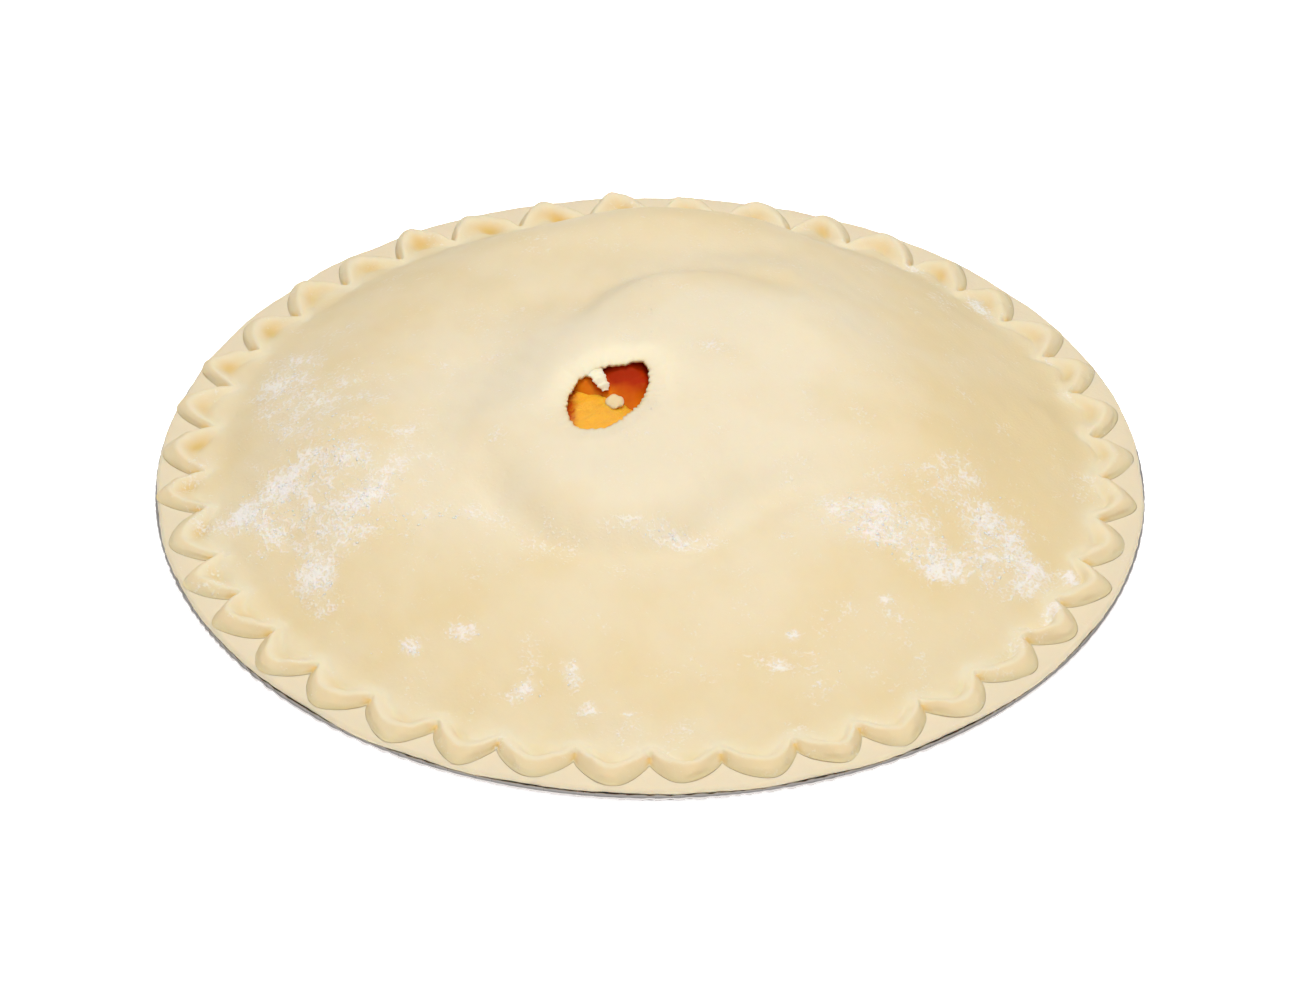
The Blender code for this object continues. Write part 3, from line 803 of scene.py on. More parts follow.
def peach_flesh(fruit):
    """Peach flesh, sliced and coated in syrup: amber, juicy, redder by the stone, and painted
    darker where shade falls on it.
    """
    material, add, shader, where = new_material("wet_peach_flesh")
    blush = add("Attribute", (), "Fac", attribute_name="blush")
    # Bundles of fibres, about 1.6 mm apart, mottle the blush
    fibre = add("TexNoise", {"Vector": where, "Scale": 1.0 / (1.6 * MM), "Detail": 4.0,
                             "Roughness": 0.6})
    # The blush layer also carries painted shade at the slice's shaded ends
    share = add("Math", (blush, 0.25), operation="ADD")
    uneven = add("Math", (share, fibre), operation="MULTIPLY")
    mottled = add("MapRange", (uneven, 0.12, 0.60))
    colour = add("Mix", {0: mottled, 6: rgba(fruit.flesh), 7: rgba(fruit.blush)}, 2, **COLOUR_MIX)
    set_inputs(shader, {
        "Base Color": colour, "Roughness": 0.3, "IOR": 1.40,
        "Subsurface Weight": 0.6, "Subsurface Radius": (1.0, 0.45, 0.10),
        "Subsurface Scale": 3.5 * MM, "Coat Weight": fruit.wetness, "Coat Roughness": 0.08,
        "Normal": add("Bump", {"Height": fibre, "Distance": 0.35 * MM})})
    return material


def dough_material():
    """The one dough material that every dough piece shares."""
    known = bpy.data.materials.get("raw_shortcrust_dough")
    return known or raw_dough(bpy.context.scene.peach_pie_dough)


# ---------- Pieces ----------
LID_LAYERS = ("ridge", "crease", "trim", "flour", "butter_and_shade", "pale", "along", "outward")
FLUTE_STEPS = 24  # columns to a flute; half as many nearer the vent
ZONE_STEPS = (  # from and to step, rings, one column in
    (1.0, 0.90, 16, 4),
    (0.90, 0.50, 42, 2),
    (0.50, 0.0, 46, 1),
)
UNDER_STEPS = (0.0, 0.04, 0.08, 0.13, 0.20, 0.30, 0.40, 0.50, 0.60, 0.70, 0.80, 0.86, 0.93,
               0.97, 1.0)
THICK_STEP = 0.13  # the lid has its full thickness from here on
BRIDGE = 0.885  # radius of the ring between the edge and the underside
SUNK = 0.2 * MM
FOOT_SHADE_SHARE = 0.72  # painted shade: the dough is painted this much darker and yellower at the end of its zone, toward the dome's foot
FOOT_SHADE_ZONE = (0.22, 0.84)
PALE_SIDES = (0.18, 0.42, 95.0 * DEG)  # the pale ring, partly thin dough and partly painted light, is painted strongest behind the vent
FLOUR_VEIL = 0.6
ALONG_RADIUS = 0.8 * LIP_RADIUS
TORN_RIM_GLOW = 0.4

# Rows of the fluted edge, counted from the dome outwards: where a form begins and is full
FLUTE_ROWS = 27
LAST_ROW = 8.0
VALLEY_SOFTNESS = 2.0
SHIFT_ROWS = (1.0, 4.0)
RIDGE_START = (0.2, 2.0)
RIDGE_END = (7.8, 6.2)
CALM_ROWS = (7.0, 5.5)
LOWER_ROWS = (1.0, 3.0)
TALL_ROWS = (1.5, 3.0)
DOME_ROWS = (2.0, 0.0)
NICK_SHADE_ROWS = (4.4, 5.6)
NICK_SHADE_END = (7.8, 6.8)
OUTER_SHADE_ROWS = (4.2, 5.2)
PRESSED_ROW = 6.5
# Middle and half width in rows
THUMB_ROWS = (2.1, 0.8)
PINCH_ROWS = (5.0, 0.9)
POCKET_SHADE_ROWS = (2.6, 0.8)
FLUTE_LIMIT = 0.9885  # no lobe reaches farther than this part of the lip's radius
CREST_FULL = 4.0 * MM
TALL_SPREAD = (0.78, 1.14)
THUMB_SPREAD = (0.35, 1.0)
THUMB_ASIDE = 0.10
THUMB_WIDTH = 0.15
PINCH_WIDTH = 0.055
PINCH_DEPTH = 0.9 * MM
NICK_SHADE = 0.9
# Lobes reach farther at the back left. The painted shade deep in a lobe, and in a thumb mark where
# the dough is also thin, is darkest there too, and the painted shade on the outer foot at the
# front: mean, swing, bearing of the side
BACK_LEFT = 126.87 * DEG
SHIFT_SIDES = (0.5, 0.7071, 135.0 * DEG)
POCKET_SHADE_SIDES = (0.20, 0.15, BACK_LEFT)
THUMB_SHADE_SIDES = (0.55, 0.30, BACK_LEFT)
OUTER_SHADE_SIDES = (0.225, 0.075, -90.0 * DEG)


def lid_point(bearing, step):
    """Plan position between the dome's edge (step 0) and the vent's torn edge (step 1)."""
    dx = DOME_EDGE * LIP_RADIUS * np.cos(bearing) - VENT_X
    dy = DOME_EDGE * LIP_RADIUS * np.sin(bearing) - VENT_Y
    run = np.hypot(dx, dy)
    edge = vent_edge(np.arctan2(dy, dx))
    distance = run + (edge - run) * step
    return VENT_X + dx / run * distance, VENT_Y + dy / run * distance


def dough_values(x, y):
    """Layers that every dough piece has: flour, butter with painted shade, the pale ring round the
    vent, distance round the pie and outwards.
    """
    radius = np.hypot(x, y)
    # Painted shade: darker, yellower dough toward the dome's foot and in the listed patches
    butter_and_shade = FOOT_SHADE_SHARE * ease(radius / LIP_RADIUS, *FOOT_SHADE_ZONE)
    butter_and_shade = butter_and_shade + hills(x / LIP_RADIUS, y / LIP_RADIUS, PAINTED_SHADE_PATCHES)
    # The pale ring round the vent: thin dough, with painted light
    pale = sided(np.arctan2(y - VENT_Y, x - VENT_X), *PALE_SIDES)
    pale = pale * hump(vent_gap(x, y), PALE_RING / 2.0, PALE_RING)
    return {"flour": flour_share(x, y) ** FLOUR_VEIL, "butter_and_shade": np.clip(butter_and_shade, 0.0, 1.0),
            "pale": pale, "along": np.arctan2(x, -y) * ALONG_RADIUS, "outward": radius}


def under_lid(x, y, step, dough):
    """Height of the lid's underside."""
    sheet = SHEET_AT_FOOT + (SHEET - SHEET_AT_FOOT) * min(1.0, step / THICK_STEP)
    torn = ease(vent_gap(x, y), TEAR_THICKENS, 0.0)
    sheet = sheet + (TEAR_SHEET - sheet) * torn
    return np.maximum(UNDER_TOP_CRUST, dough_height(x, y, dough) - sheet)


def flute_ring(t, columns, dough):
    """Points and layers of one ring of the fluted edge; t runs from the dome outwards."""
    valley_lift = TIN_DEPTH + VALLEY * LIP_RADIUS - TOP_OF_SHELF
    rows = [(DOME_EDGE, DOME_EDGE, valley_lift, valley_lift, VALLEY_SOFTNESS),
            *FLUTE_PROFILE[:-1], *FLUTE_FOOT]
    corner_r, lobe_r, corner_z, lobe_z, softness = catmull(rows, t)
    bearing, part = columns["bearing"], columns["part"]
    lobe, flute = columns["lobe"], columns["flute"]
    share = lobe ** softness
    cos_b, sin_b = np.cos(bearing), np.sin(bearing)
    shift = FLUTE_SHIFT * sided(bearing, *SHIFT_SIDES) * ease(t, *SHIFT_ROWS)
    lobe_r = np.minimum(lobe_r + shift, FLUTE_LIMIT)
    on_ridge = ease(t, *RIDGE_START) * ease(t, *RIDGE_END)
    handled = on_ridge * ease(t, *CALM_ROWS)
    radius = (corner_r + (lobe_r - corner_r) * share) * columns["reach"] * LIP_RADIUS
    radius = radius + ripple(LIP_RADIUS * cos_b, LIP_RADIUS * sin_b, "ridge") * handled
    x = radius * cos_b
    y = radius * sin_b
    lift = corner_z + (lobe_z - corner_z) * share
    lift = lift * (1.0 - (1.0 - FLUTE_LOWER) * ease(t, *LOWER_ROWS))
    # Hand work: no two flutes are pressed alike, and each pinch leaves a dimple at its corner
    draw = random.Random(FLUTE_SEED + 1)
    tall, thumb, aside = (np.array([draw.uniform(low, high) for _ in range(FLUTES)])[flute]
                          for low, high in (TALL_SPREAD, THUMB_SPREAD, (-THUMB_ASIDE, THUMB_ASIDE)))
    lift = lift * (1.0 + (tall - 1.0) * lobe * ease(t, *TALL_ROWS))
    height = TOP_OF_SHELF + lift + columns["crest"] * ease(lift, 0.0, CREST_FULL)
    valley = TOP_OF_SHELF + valley_lift
    z = np.maximum(height, np.minimum(height, valley) + dome_height(x, y) - valley)
    print_mark = thumb * hump(part, 0.5 + aside, THUMB_WIDTH) * hump(t, *THUMB_ROWS)
    pinch = hump(np.minimum(part, 1.0 - part), 0.0, PINCH_WIDTH)
    z = z - THUMB_DEPTH * print_mark - PINCH_DEPTH * pinch * hump(t, *PINCH_ROWS)
    z = z + (ripple(x, y, "pinched") + ripple(x, y, "handled")) * handled
    z = z + (dough_height(x, y, dough) - dome_height(x, y)) * ease(t, *DOME_ROWS)
    if t < PRESSED_ROW:
        z = np.maximum(z, UNDER_TOP_CRUST + SUNK)
    # Painted shade in the crease colour: deep in the lobes' pockets, in the thumb marks, where the
    # dough is also thin, in the nicks at the corners and on the outer walls
    pocket_shade = lobe ** 2 * hump(t, *POCKET_SHADE_ROWS)
    outer = sided(bearing, *OUTER_SHADE_SIDES) * ease(t, *OUTER_SHADE_ROWS)
    cut = NICK_SHADE * pinch * ease(t, *NICK_SHADE_ROWS) * ease(t, *NICK_SHADE_END)
    crease = sided(bearing, *POCKET_SHADE_SIDES) * pocket_shade + sided(bearing, *THUMB_SHADE_SIDES) * print_mark
    crease = np.clip(np.maximum(np.maximum(crease, cut), outer), 0.0, 1.0)
    return x, y, z, {"ridge": on_ridge, "crease": crease, **dough_values(x, y)}


def build_lid(dough):
    """The lid: dome, pressed valley and fluted edge in one sheet, torn open at the vent."""
    shell = Shell(LID_LAYERS)
    columns = flute_columns(FLUTE_STEPS)
    bearing = columns["bearing"]
    rings = []
    for start, end, count, every in ZONE_STEPS:
        for step in np.linspace(start, end, count, endpoint=False):
            x, y = lid_point(bearing[::every], step)
            # Painted glow: the thin torn rim is painted in the crease colour
            torn = TORN_RIM_GLOW * hump(np.maximum(0.0, vent_gap(x, y)), 0.0, TEAR_RIM)
            rings.append(shell.ring(x, y, dough_height(x, y, dough), crease=torn,
                                    **dough_values(x, y)))
    for t in np.linspace(0.0, LAST_ROW, FLUTE_ROWS + 1):
        x, y, z, values = flute_ring(t, columns, dough)
        rings.append(shell.ring(x, y, z, **values))
    shell.bands(rings)
    sparse = bearing[::4]
    under = [shell.circle(sparse, HEEL * LIP_RADIUS, UNDER_TOP_CRUST)]
    for step in UNDER_STEPS:
        x, y = lid_point(sparse, step)
        under.append(shell.ring(x, y, under_lid(x, y, step, dough)))
    bridge = shell.circle(bearing[::2], BRIDGE * LIP_RADIUS, UNDER_TOP_CRUST - SUNK)
    shell.bands([rings[-1], bridge, *under, rings[0]])
    return shell.build("top_crust_dough", dough_material())


class PEACHPIE_OT_top_crust(bpy.types.Operator):
    """Add the domed lid with its fluted edge and torn vent"""
    bl_idname = "peach_pie.top_crust"
    bl_label = "Top crust"

    def execute(self, context):
        place(build_lid(context.scene.peach_pie_dough), "top_crust", "top_crust")
        return {"FINISHED"}


LINING_FOOT = TIN_BASE - 4.0 * MM
LINING_SLACK = 1.5 * GAP
LINING_CORNER = 0.8 * FLOOR
LINING_LOW = 2.5 * MM
SHOULDER_DROP = 1.0 * MM
SHOULDER_OUT = 0.8 * MM
# The shelf's trimmed edge: its waist in parts of the shelf's thickness, how far it hangs over
# the rolled lip, and how far its lower and upper corners draw in
EDGE_WAIST = 0.38
EDGE_HANG = 0.45 * MM
EDGE_OUT = 0.35 * MM
EDGE_TUCK_UNDER = 0.7 * MM
EDGE_TUCK_OVER = 0.9 * MM
EDGE_RINGS = 11
SHELF_RINGS = 14
EDGE_UNEVEN = 0.06
SHELF_UNEVEN = 0.10
NO_FLOUR = -0.3


def wall_radius(height):
    """Inside radius of the tin's sloping wall."""
    return TIN_BASE + (TIN_MOUTH - TIN_BASE) * (height - FOIL) / (TIN_DEPTH - FOIL)


def lining_profile(inset):
    """The inside of the dough in the tin, from its floor to the mouth, or a line inside it."""
    floor = FOIL + GAP + FLOOR
    inner = LINING_SLACK + LINING + inset
    return [(LINING_FOOT - inner, floor + min(inset, GAP))] + [
        (wall_radius(height) - inner, height)
        for height in (floor + LINING_CORNER, TIN_DEPTH, TOP_OF_SHELF)]


def build_shelf():
    """The bottom crust: lining and a flat trimmed shelf on the flange."""
    shell = Shell(LID_LAYERS)
    bearing = TURN * np.arange(FLUTES * FLUTE_STEPS) / (FLUTES * FLUTE_STEPS)
    cos_b, sin_b = np.cos(bearing), np.sin(bearing)
    trim = sum(ripple(SHELF_RADIUS * cos_b, SHELF_RADIUS * sin_b, name)
               for name in ("cut", "cut finely"))

    def ring(radius, height, uneven=0.0, **values):
        x, y = radius * cos_b, radius * sin_b
        z = height + uneven * ripple(x, y, "shelf")
        return shell.ring(x, y, z, **{**dough_values(x, y), "flour": NO_FLOUR}, **values)

    top = TIN_DEPTH + GAP
    under = FOIL + GAP
    shoulder = TIN_DEPTH - SHOULDER_DROP
    rings = [
        ring(LINING_FOOT, under),
        ring(wall_radius(LINING_LOW) - LINING_SLACK, LINING_LOW),
        ring(wall_radius(shoulder) - LINING_SLACK, shoulder),
        ring(TIN_MOUTH + SHOULDER_OUT, top),
    ]
    edge = SHELF_RADIUS + EDGE_OUT + 0.5 * trim
    waist = top + EDGE_WAIST * SHELF
    for angle in np.linspace(-90.0, 90.0, EDGE_RINGS) * DEG:
        if angle < -DEG:
            tuck = EDGE_TUCK_UNDER * math.sin(angle) ** 2
            height = waist + (waist - top - EDGE_HANG) * math.sin(angle)
        else:
            tuck = EDGE_TUCK_OVER * (1.0 - math.cos(angle))
            height = waist + (1.0 - EDGE_WAIST) * SHELF * math.sin(angle)
        rings.append(ring(edge - tuck, height, EDGE_UNEVEN * (angle > DEG), trim=1.0))
    inner = lining_profile(0.0)[-1][0]
    for part in np.linspace(0.0, 1.0, SHELF_RINGS + 1)[1:]:
        radius = edge - EDGE_TUCK_OVER + (inner - edge + EDGE_TUCK_OVER) * part
        rings.append(ring(radius, TOP_OF_SHELF, SHELF_UNEVEN * (1.0 - part), trim=1.0))
    rings += [ring(radius, height) for radius, height in lining_profile(0.0)[-2::-1]]
    shell.bands(rings)
    shell.cap(rings[0], 0.0, 0.0, under)
    shell.cap(rings[-1], 0.0, 0.0, under + FLOOR, outward=False)
    return shell.build("bottom_crust_dough", dough_material(), turn_over=True)


class PEACHPIE_OT_bottom_crust(bpy.types.Operator):
    """Add the dough that lines the tin and lies on its flange"""
    bl_idname = "peach_pie.bottom_crust"
    bl_label = "Bottom crust"

    def execute(self, context):
        place(build_shelf(), "bottom_crust", "bottom_crust")
        return {"FINISHED"}


TIN_COLUMNS = 1280
TIN_SEED = 5
# Arcs of the lip that are crinkled most: middle and half width in degrees; the rest is calmer
CRINKLED = ((-75.0, 22.0), (-140.0, 30.0), (110.0, 30.0))
CALM_LIP = 0.35
LIP_WAVES = 14
LIP_WAVE_COUNTS = (120, 330)
LIP_WAVE_SCALE = 3.0
LIP_WAVE_LIMITS = (-1.4, 1.0)
# Uneven pleats: width in degrees, depth, foot in parts of the tin's depth
DENT_WIDTH = (0.45, 1.3)
DENT_SHARE = (0.25, 1.0)
DENT_FOOT = (0.0, 0.6)
DENT_LIMIT = 1.2
# Even pleats: how their spacing and their depth vary round the tin: height, number, phase
PLEAT_SPACING = ((0.7, 9.0, 0.0), (0.5, 23.0, 0.0))
PLEAT_EVENNESS = 0.8
PLEAT_FADING = ((0.2, 5.0, 1.0),)
PLEAT_AT_FOOT = 0.25
TIN_CORNER = 3.0 * MM
# The ring stamped into the base: part of its radius, rise in mm
BASE_RING = ((0.3, 0.0), (0.62, 0.0), (0.66, 0.0), (0.675, 0.5), (0.70, 0.7), (0.725, 0.5),
             (0.74, 0.0))
WALL_RINGS = 19
FLANGE_RINGS = 8
FLANGE_START = TIN_MOUTH + 1.5 * MM
FLANGE_SAG = 0.25
BEAD_RINGS = 17
BEAD_HALF_TURN = 150.0 * DEG
BEAD_SLACK = 0.1 * MM
RETURN_RINGS = 6
RETURN_DROP = 0.15 * MM
RETURN_RADIUS = SHELF_RADIUS - 2.0 * MM
CRINKLE_OUTSIDE = 0.5  # share of the lip's crinkle that runs on into the flange
CRINKLE_INSIDE = 0.6
FOOT_IN = 0.3 * TIN_CORNER  # the wall's rounded foot, outside
FOOT_UP = 0.12 * TIN_CORNER
MOUTH_OUT = 1.2 * MM  # the rounded mouth, and the corner inside the tin
MOUTH_DOWN = 1.2 * FOIL
CORNER_UP = 0.4 * TIN_CORNER
WALL_TOP = TIN_DEPTH - 1.5 * FOIL


def build_tin(tin):
    """The tin: flat base, pleated wall, level flange and rolled, crinkled lip."""
    shell = Shell()
    bearing = TURN * np.arange(TIN_COLUMNS) / TIN_COLUMNS
    draw = random.Random(TIN_SEED)
    dents = []
    for _ in range(tin.dents):
        dents.append((draw.uniform(-180.0, 180.0), draw.uniform(*DENT_WIDTH),
                      draw.uniform(*DENT_SHARE) * draw.choice((-1.0, 1.0)),
                      draw.uniform(*DENT_FOOT)))
    fine = np.zeros_like(bearing)
    for _ in range(LIP_WAVES):
        fine += np.sin(draw.randint(*LIP_WAVE_COUNTS) * bearing + draw.uniform(0.0, 6.28))
    arcs = np.full_like(bearing, CALM_LIP)
    for middle, half in CRINKLED:
        near = ease(turned(bearing / DEG, middle), half, 0.6 * half)
        arcs = np.maximum(arcs, CALM_LIP + (1.0 - CALM_LIP) * near)
    fine = tin.crinkle * arcs * np.clip(fine / LIP_WAVE_SCALE, *LIP_WAVE_LIMITS)

    def pleated(height):
        """Outward shift of the wall, growing from each pleat's foot to the flange."""
        up = height / TIN_DEPTH
        uneven = np.zeros_like(bearing)
        for middle, width, share, foot in dents:
            off = turned(bearing / DEG, middle)
            uneven += share * hump(off, 0.0, width) * float(ease(up, foot, 1.0))
        even = np.sin(tin.pleats * bearing + waves(bearing, PLEAT_SPACING))
        even = even * (PLEAT_EVENNESS + waves(bearing, PLEAT_FADING))
        return (tin.pleat * even * min(1.0, PLEAT_AT_FOOT + up)
                + tin.dent * np.clip(uneven, -DENT_LIMIT, DENT_LIMIT))

    bead_r = LIP_RADIUS - LIP_BEAD - tin.crinkle
    bead_inside = bead_r - LIP_BEAD
    profile = [(TIN_BASE * part, rise * MM) for part, rise in BASE_RING]
    profile += [(TIN_BASE - TIN_CORNER, 0.0), (TIN_BASE - FOOT_IN, FOOT_UP)]
    for height in np.linspace(FOOT_IN, WALL_TOP, WALL_RINGS):
        profile.append((wall_radius(height) + FOIL + pleated(height), height))
    shift = pleated(TIN_DEPTH)
    for part in np.linspace(0.0, 1.0, FLANGE_RINGS + 1)[1:]:
        left = shift * (1.0 - part)
        profile.append((FLANGE_START + (bead_inside - FLANGE_START) * part + left,
                        TIN_DEPTH - FOIL + CRINKLE_OUTSIDE * fine * part
                        - FLANGE_SAG * np.abs(left)))
    swell = LIP_BEAD - BEAD_SLACK + fine
    for angle in np.linspace(-BEAD_HALF_TURN, BEAD_HALF_TURN, BEAD_RINGS):
        profile.append((bead_r + swell * math.cos(angle), TIN_DEPTH + swell * math.sin(angle)))
    for part in np.linspace(0.0, 1.0, RETURN_RINGS):
        profile.append((bead_inside + (RETURN_RADIUS - bead_inside) * part,
                        TIN_DEPTH - RETURN_DROP + CRINKLE_INSIDE * fine * (1.0 - part)))
    profile += [(TIN_MOUTH + MOUTH_OUT, TIN_DEPTH), (TIN_MOUTH, TIN_DEPTH - MOUTH_DOWN),
                (wall_radius(CORNER_UP), CORNER_UP + FOIL), (TIN_BASE - TIN_CORNER, FOIL)]
    rings = [shell.circle(bearing, radius, height) for radius, height in profile]
    shell.bands(rings)
    shell.cap(rings[0], 0.0, 0.0, 0.0)
    shell.cap(rings[-1], 0.0, 0.0, FOIL, outward=False)
    return shell.build("foil_pie_tin", pressed_foil(tin), turn_over=True)


class PEACHPIE_OT_foil_tin(bpy.types.Operator):
    """Add the pressed foil tin with its pleats and rolled lip"""
    bl_idname = "peach_pie.foil_tin"
    bl_label = "Foil tin"

    def execute(self, context):
        place(build_tin(context.scene.peach_pie_tin), "foil_tin", "foil_tin")
        return {"FINISHED"}


FILLING_STEPS = 6  # columns to a flute
FILLING_ZONES = ((0.0, 0.62, 9), (0.65, 0.99, 30))
VENT_ZONE = (0.95, 0.08, 16)
# Painted shade: the syrup is painted darker towards the back of the vent, under the lid's edge
BACK_SHADE_SHARE = 1.2
BACK_SHADE_AT = 11.0 * MM


def filling_height(x, y, step, dough):
    """Height of the filling: close under the lid, and lower below the vent, over the fruit."""
    close = under_lid(x, y, step, dough) - GAP
    sunk = ease(np.hypot(x - VENT_X, y - VENT_Y), HOLLOW_RADIUS, HOLLOW_FLAT)
    floor = HOLLOW_FLOOR + MM * hills(x / MM, y / MM, FRUIT_LUMPS)
    return close - np.maximum(0.0, close - floor - ripple(x, y, "syrup")) * sunk


def build_filling(dough, fruit):
    """Peaches in syrup: fills the lining, follows the lid, and lies lower below the vent."""
    shell = Shell(("deep",))
    bearing = flute_columns(FILLING_STEPS)["bearing"]
    rings = [shell.circle(bearing, radius, height)
             for radius, height in (*lining_profile(2.0 * GAP), (HEEL * LIP_RADIUS, TOP_OF_SHELF))]
    plan = [(*lid_point(bearing, step), step)
            for zone in FILLING_ZONES for step in np.linspace(*zone)]
    rim_x, rim_y = lid_point(bearing, 1.0)
    plan += [(VENT_X + (rim_x - VENT_X) * share, VENT_Y + (rim_y - VENT_Y) * share, 1.0)
             for share in np.linspace(*VENT_ZONE)]
    for x, y, step in plan:
        # Painted shade darkens the syrup towards the back; over one lump it is taken off again, as
        # painted light
        deep = BACK_SHADE_SHARE * ease(y, 0.0, BACK_SHADE_AT) - bump(x / MM, y / MM, PAINTED_LIGHT_LUMP)
        rings.append(shell.ring(x, y, filling_height(x, y, step, dough), deep=deep))
    shell.bands(rings)
    shell.cap(rings[0], 0.0, 0.0, lining_profile(0.0)[0][1] + GAP)
    middle = filling_height(np.array([VENT_X]), np.array([VENT_Y]), 1.0, dough)[0]
    shell.cap(rings[-1], VENT_X, VENT_Y, middle, outward=False)
    return shell.build("peach_filling_syrup", peach_syrup(fruit), turn_over=True)


class PEACHPIE_OT_filling(bpy.types.Operator):
    """Add the syrupy filling that shows deep in the vent"""
    bl_idname = "peach_pie.filling"
    bl_label = "Filling"

    def execute(self, context):
        scene = context.scene
        filling = build_filling(scene.peach_pie_dough, scene.peach_pie_fruit)
        place(filling, "peach_filling", "peach_filling")
        return {"FINISHED"}


SLICE_STATIONS = 56
SLICE_SECTION = 40
SLICE_TAPER = 0.6
SLICE_ROUNDNESS = 0.8
# The blush and painted shade at the slice's left end and at its back, where the lid shades it: from
# and to, in metres, share
LEFT_BLUSH_AND_SHADE = (-17.2 * MM, -19.8 * MM, 0.9)
BACK_BLUSH_AND_SHADE = (5.0 * MM, 13.0 * MM, 0.6)


def build_slice(fruit):
    """The slice in the vent: a bent crescent with rounded cut faces."""
    shell = Shell(("blush",))
    cos_t, sin_t = math.cos(SLICE_TURN), math.sin(SLICE_TURN)
    angle = TURN * (np.arange(SLICE_SECTION) + 0.5) / SLICE_SECTION

    def at(along, across, up):
        return (SLICE_X + along * cos_t - across * sin_t,
                SLICE_Y + along * sin_t + across * cos_t, HOLLOW_FLOOR + GAP + up)

    rings = []
    for i in range(1, SLICE_STATIONS):
        t = -math.cos(math.pi * i / SLICE_STATIONS)
        taper = math.sqrt(1.0 - t * t)
        across = SLICE_HALF_WIDTH * taper * np.cos(angle) + SLICE_BEND * (1.0 - t * t)
        share = taper ** SLICE_TAPER * np.maximum(0.0, np.sin(angle)) ** SLICE_ROUNDNESS
        x, y, z = at(t * SLICE_HALF_LENGTH, across, SLICE_HEIGHT * share)
        # Painted shade: the ends that lie in the lid's shade are painted in the blush colour
        blush = np.maximum(LEFT_BLUSH_AND_SHADE[2] * ease(x, *LEFT_BLUSH_AND_SHADE[:2]),
                           BACK_BLUSH_AND_SHADE[2] * ease(y, *BACK_BLUSH_AND_SHADE[:2]))
        rings.append(shell.ring(x, y, z + ripple(x, y, "flesh") * share, blush=blush))
    shell.bands(rings)
    shell.cap(rings[0], *at(-SLICE_HALF_LENGTH, 0.0, 0.0), outward=False)
    shell.cap(rings[-1], *at(SLICE_HALF_LENGTH, 0.0, 0.0))
    return shell.build("peach_slice_flesh", peach_flesh(fruit))


class PEACHPIE_OT_slice(bpy.types.Operator):
    """Add the amber slice that lies in the vent"""
    bl_idname = "peach_pie.slice"
    bl_label = "Peach slice"

    def execute(self, context):
        place(build_slice(context.scene.peach_pie_fruit), "peach_slice", "peach_slice")
        return {"FINISHED"}


STRIP_SECTION = 20
STRIP_STATIONS = 40
STRIP_STEP = 0.05  # how far ahead and back the strip's direction is taken
STRIP_FLATNESS = 0.28
STRIP_WAVES = ((0.10, 5.3, 1.0), (0.07, 11.0, 0.0))
STRIP_LOBES = (0.10, 3.0, 2.1)  # lumps round the strip: height, number, turn along it
# Painted light: the strip lies in shade, and is painted paler, and orange for the syrup's light on
# it
STRIP_LAYERS = {"flour": 0.2, "crease": 0.32, "pale": 0.8}
CRUMB_RINGS = 14
CRUMB_LOBES = (0.12, 2.0, 5.0)
# On the lump of dough these layers only tint it the colour of dough soaked in syrup
CRUMB_LAYERS = {"butter_and_shade": 0.7, "crease": 0.2}


def build_strip():
    """The strip of torn dough and the lump below it."""
    shell = Shell(LID_LAYERS)
    path = np.array(STRIP) * MM
    angle = TURN * np.arange(STRIP_SECTION) / STRIP_SECTION
    last = len(path) - 1.0
    lump, number, twist = STRIP_LOBES
    rings = []
    for t in np.linspace(0.0, last, STRIP_STATIONS + 1):
        *point, radius = catmull(path, t)
        ahead = catmull(path, min(t + STRIP_STEP, last)) - catmull(path, max(t - STRIP_STEP, 0.0))
        forward = Vector(ahead[:3]).normalized()
        side = forward.cross(Vector((0.0, 0.0, 1.0))).normalized()
        lift = STRIP_FLATNESS * side.cross(forward)
        wide = radius * (1.0 + waves(t, STRIP_WAVES))
        wide = wide * (1.0 + lump * np.sin(number * angle + twist * t))
        x, y, z = (point[k] + wide * (np.cos(angle) * side[k] + np.sin(angle) * lift[k])
                   for k in range(3))
        rings.append(shell.ring(x, y, z + ripple(x, y, "torn"), **STRIP_LAYERS))
    shell.bands(rings)
    shell.cap(rings[0], *path[0][:3], outward=False)
    shell.cap(rings[-1], *path[-1][:3])
    cx, cy, cz, ax, ay, az = [value * MM for value in CRUMB]
    lump, number, twist = CRUMB_LOBES
    rings = []
    for polar in np.linspace(0.0, math.pi, CRUMB_RINGS + 1)[1:-1]:
        girth = math.sin(polar) * (1.0 + lump * np.sin(number * angle + twist * polar))
        rings.append(shell.ring(cx - ax * math.cos(polar), cy + ay * girth * np.cos(angle),
                                cz + az * girth * np.sin(angle), **CRUMB_LAYERS))
    shell.bands(rings)
    shell.cap(rings[0], cx - ax, cy, cz, outward=False, **CRUMB_LAYERS)
    shell.cap(rings[-1], cx + ax, cy, cz, **CRUMB_LAYERS)
    return shell.build("torn_dough_strip", dough_material())


class PEACHPIE_OT_torn_strip(bpy.types.Operator):
    """Add the strip of torn dough that hangs into the vent"""
    bl_idname = "peach_pie.torn_strip"
    bl_label = "Torn dough"

    def execute(self, context):
        place(build_strip(), "top_crust")
        return {"FINISHED"}


GOLDEN = (1.0 + math.sqrt(5.0)) / 2.0
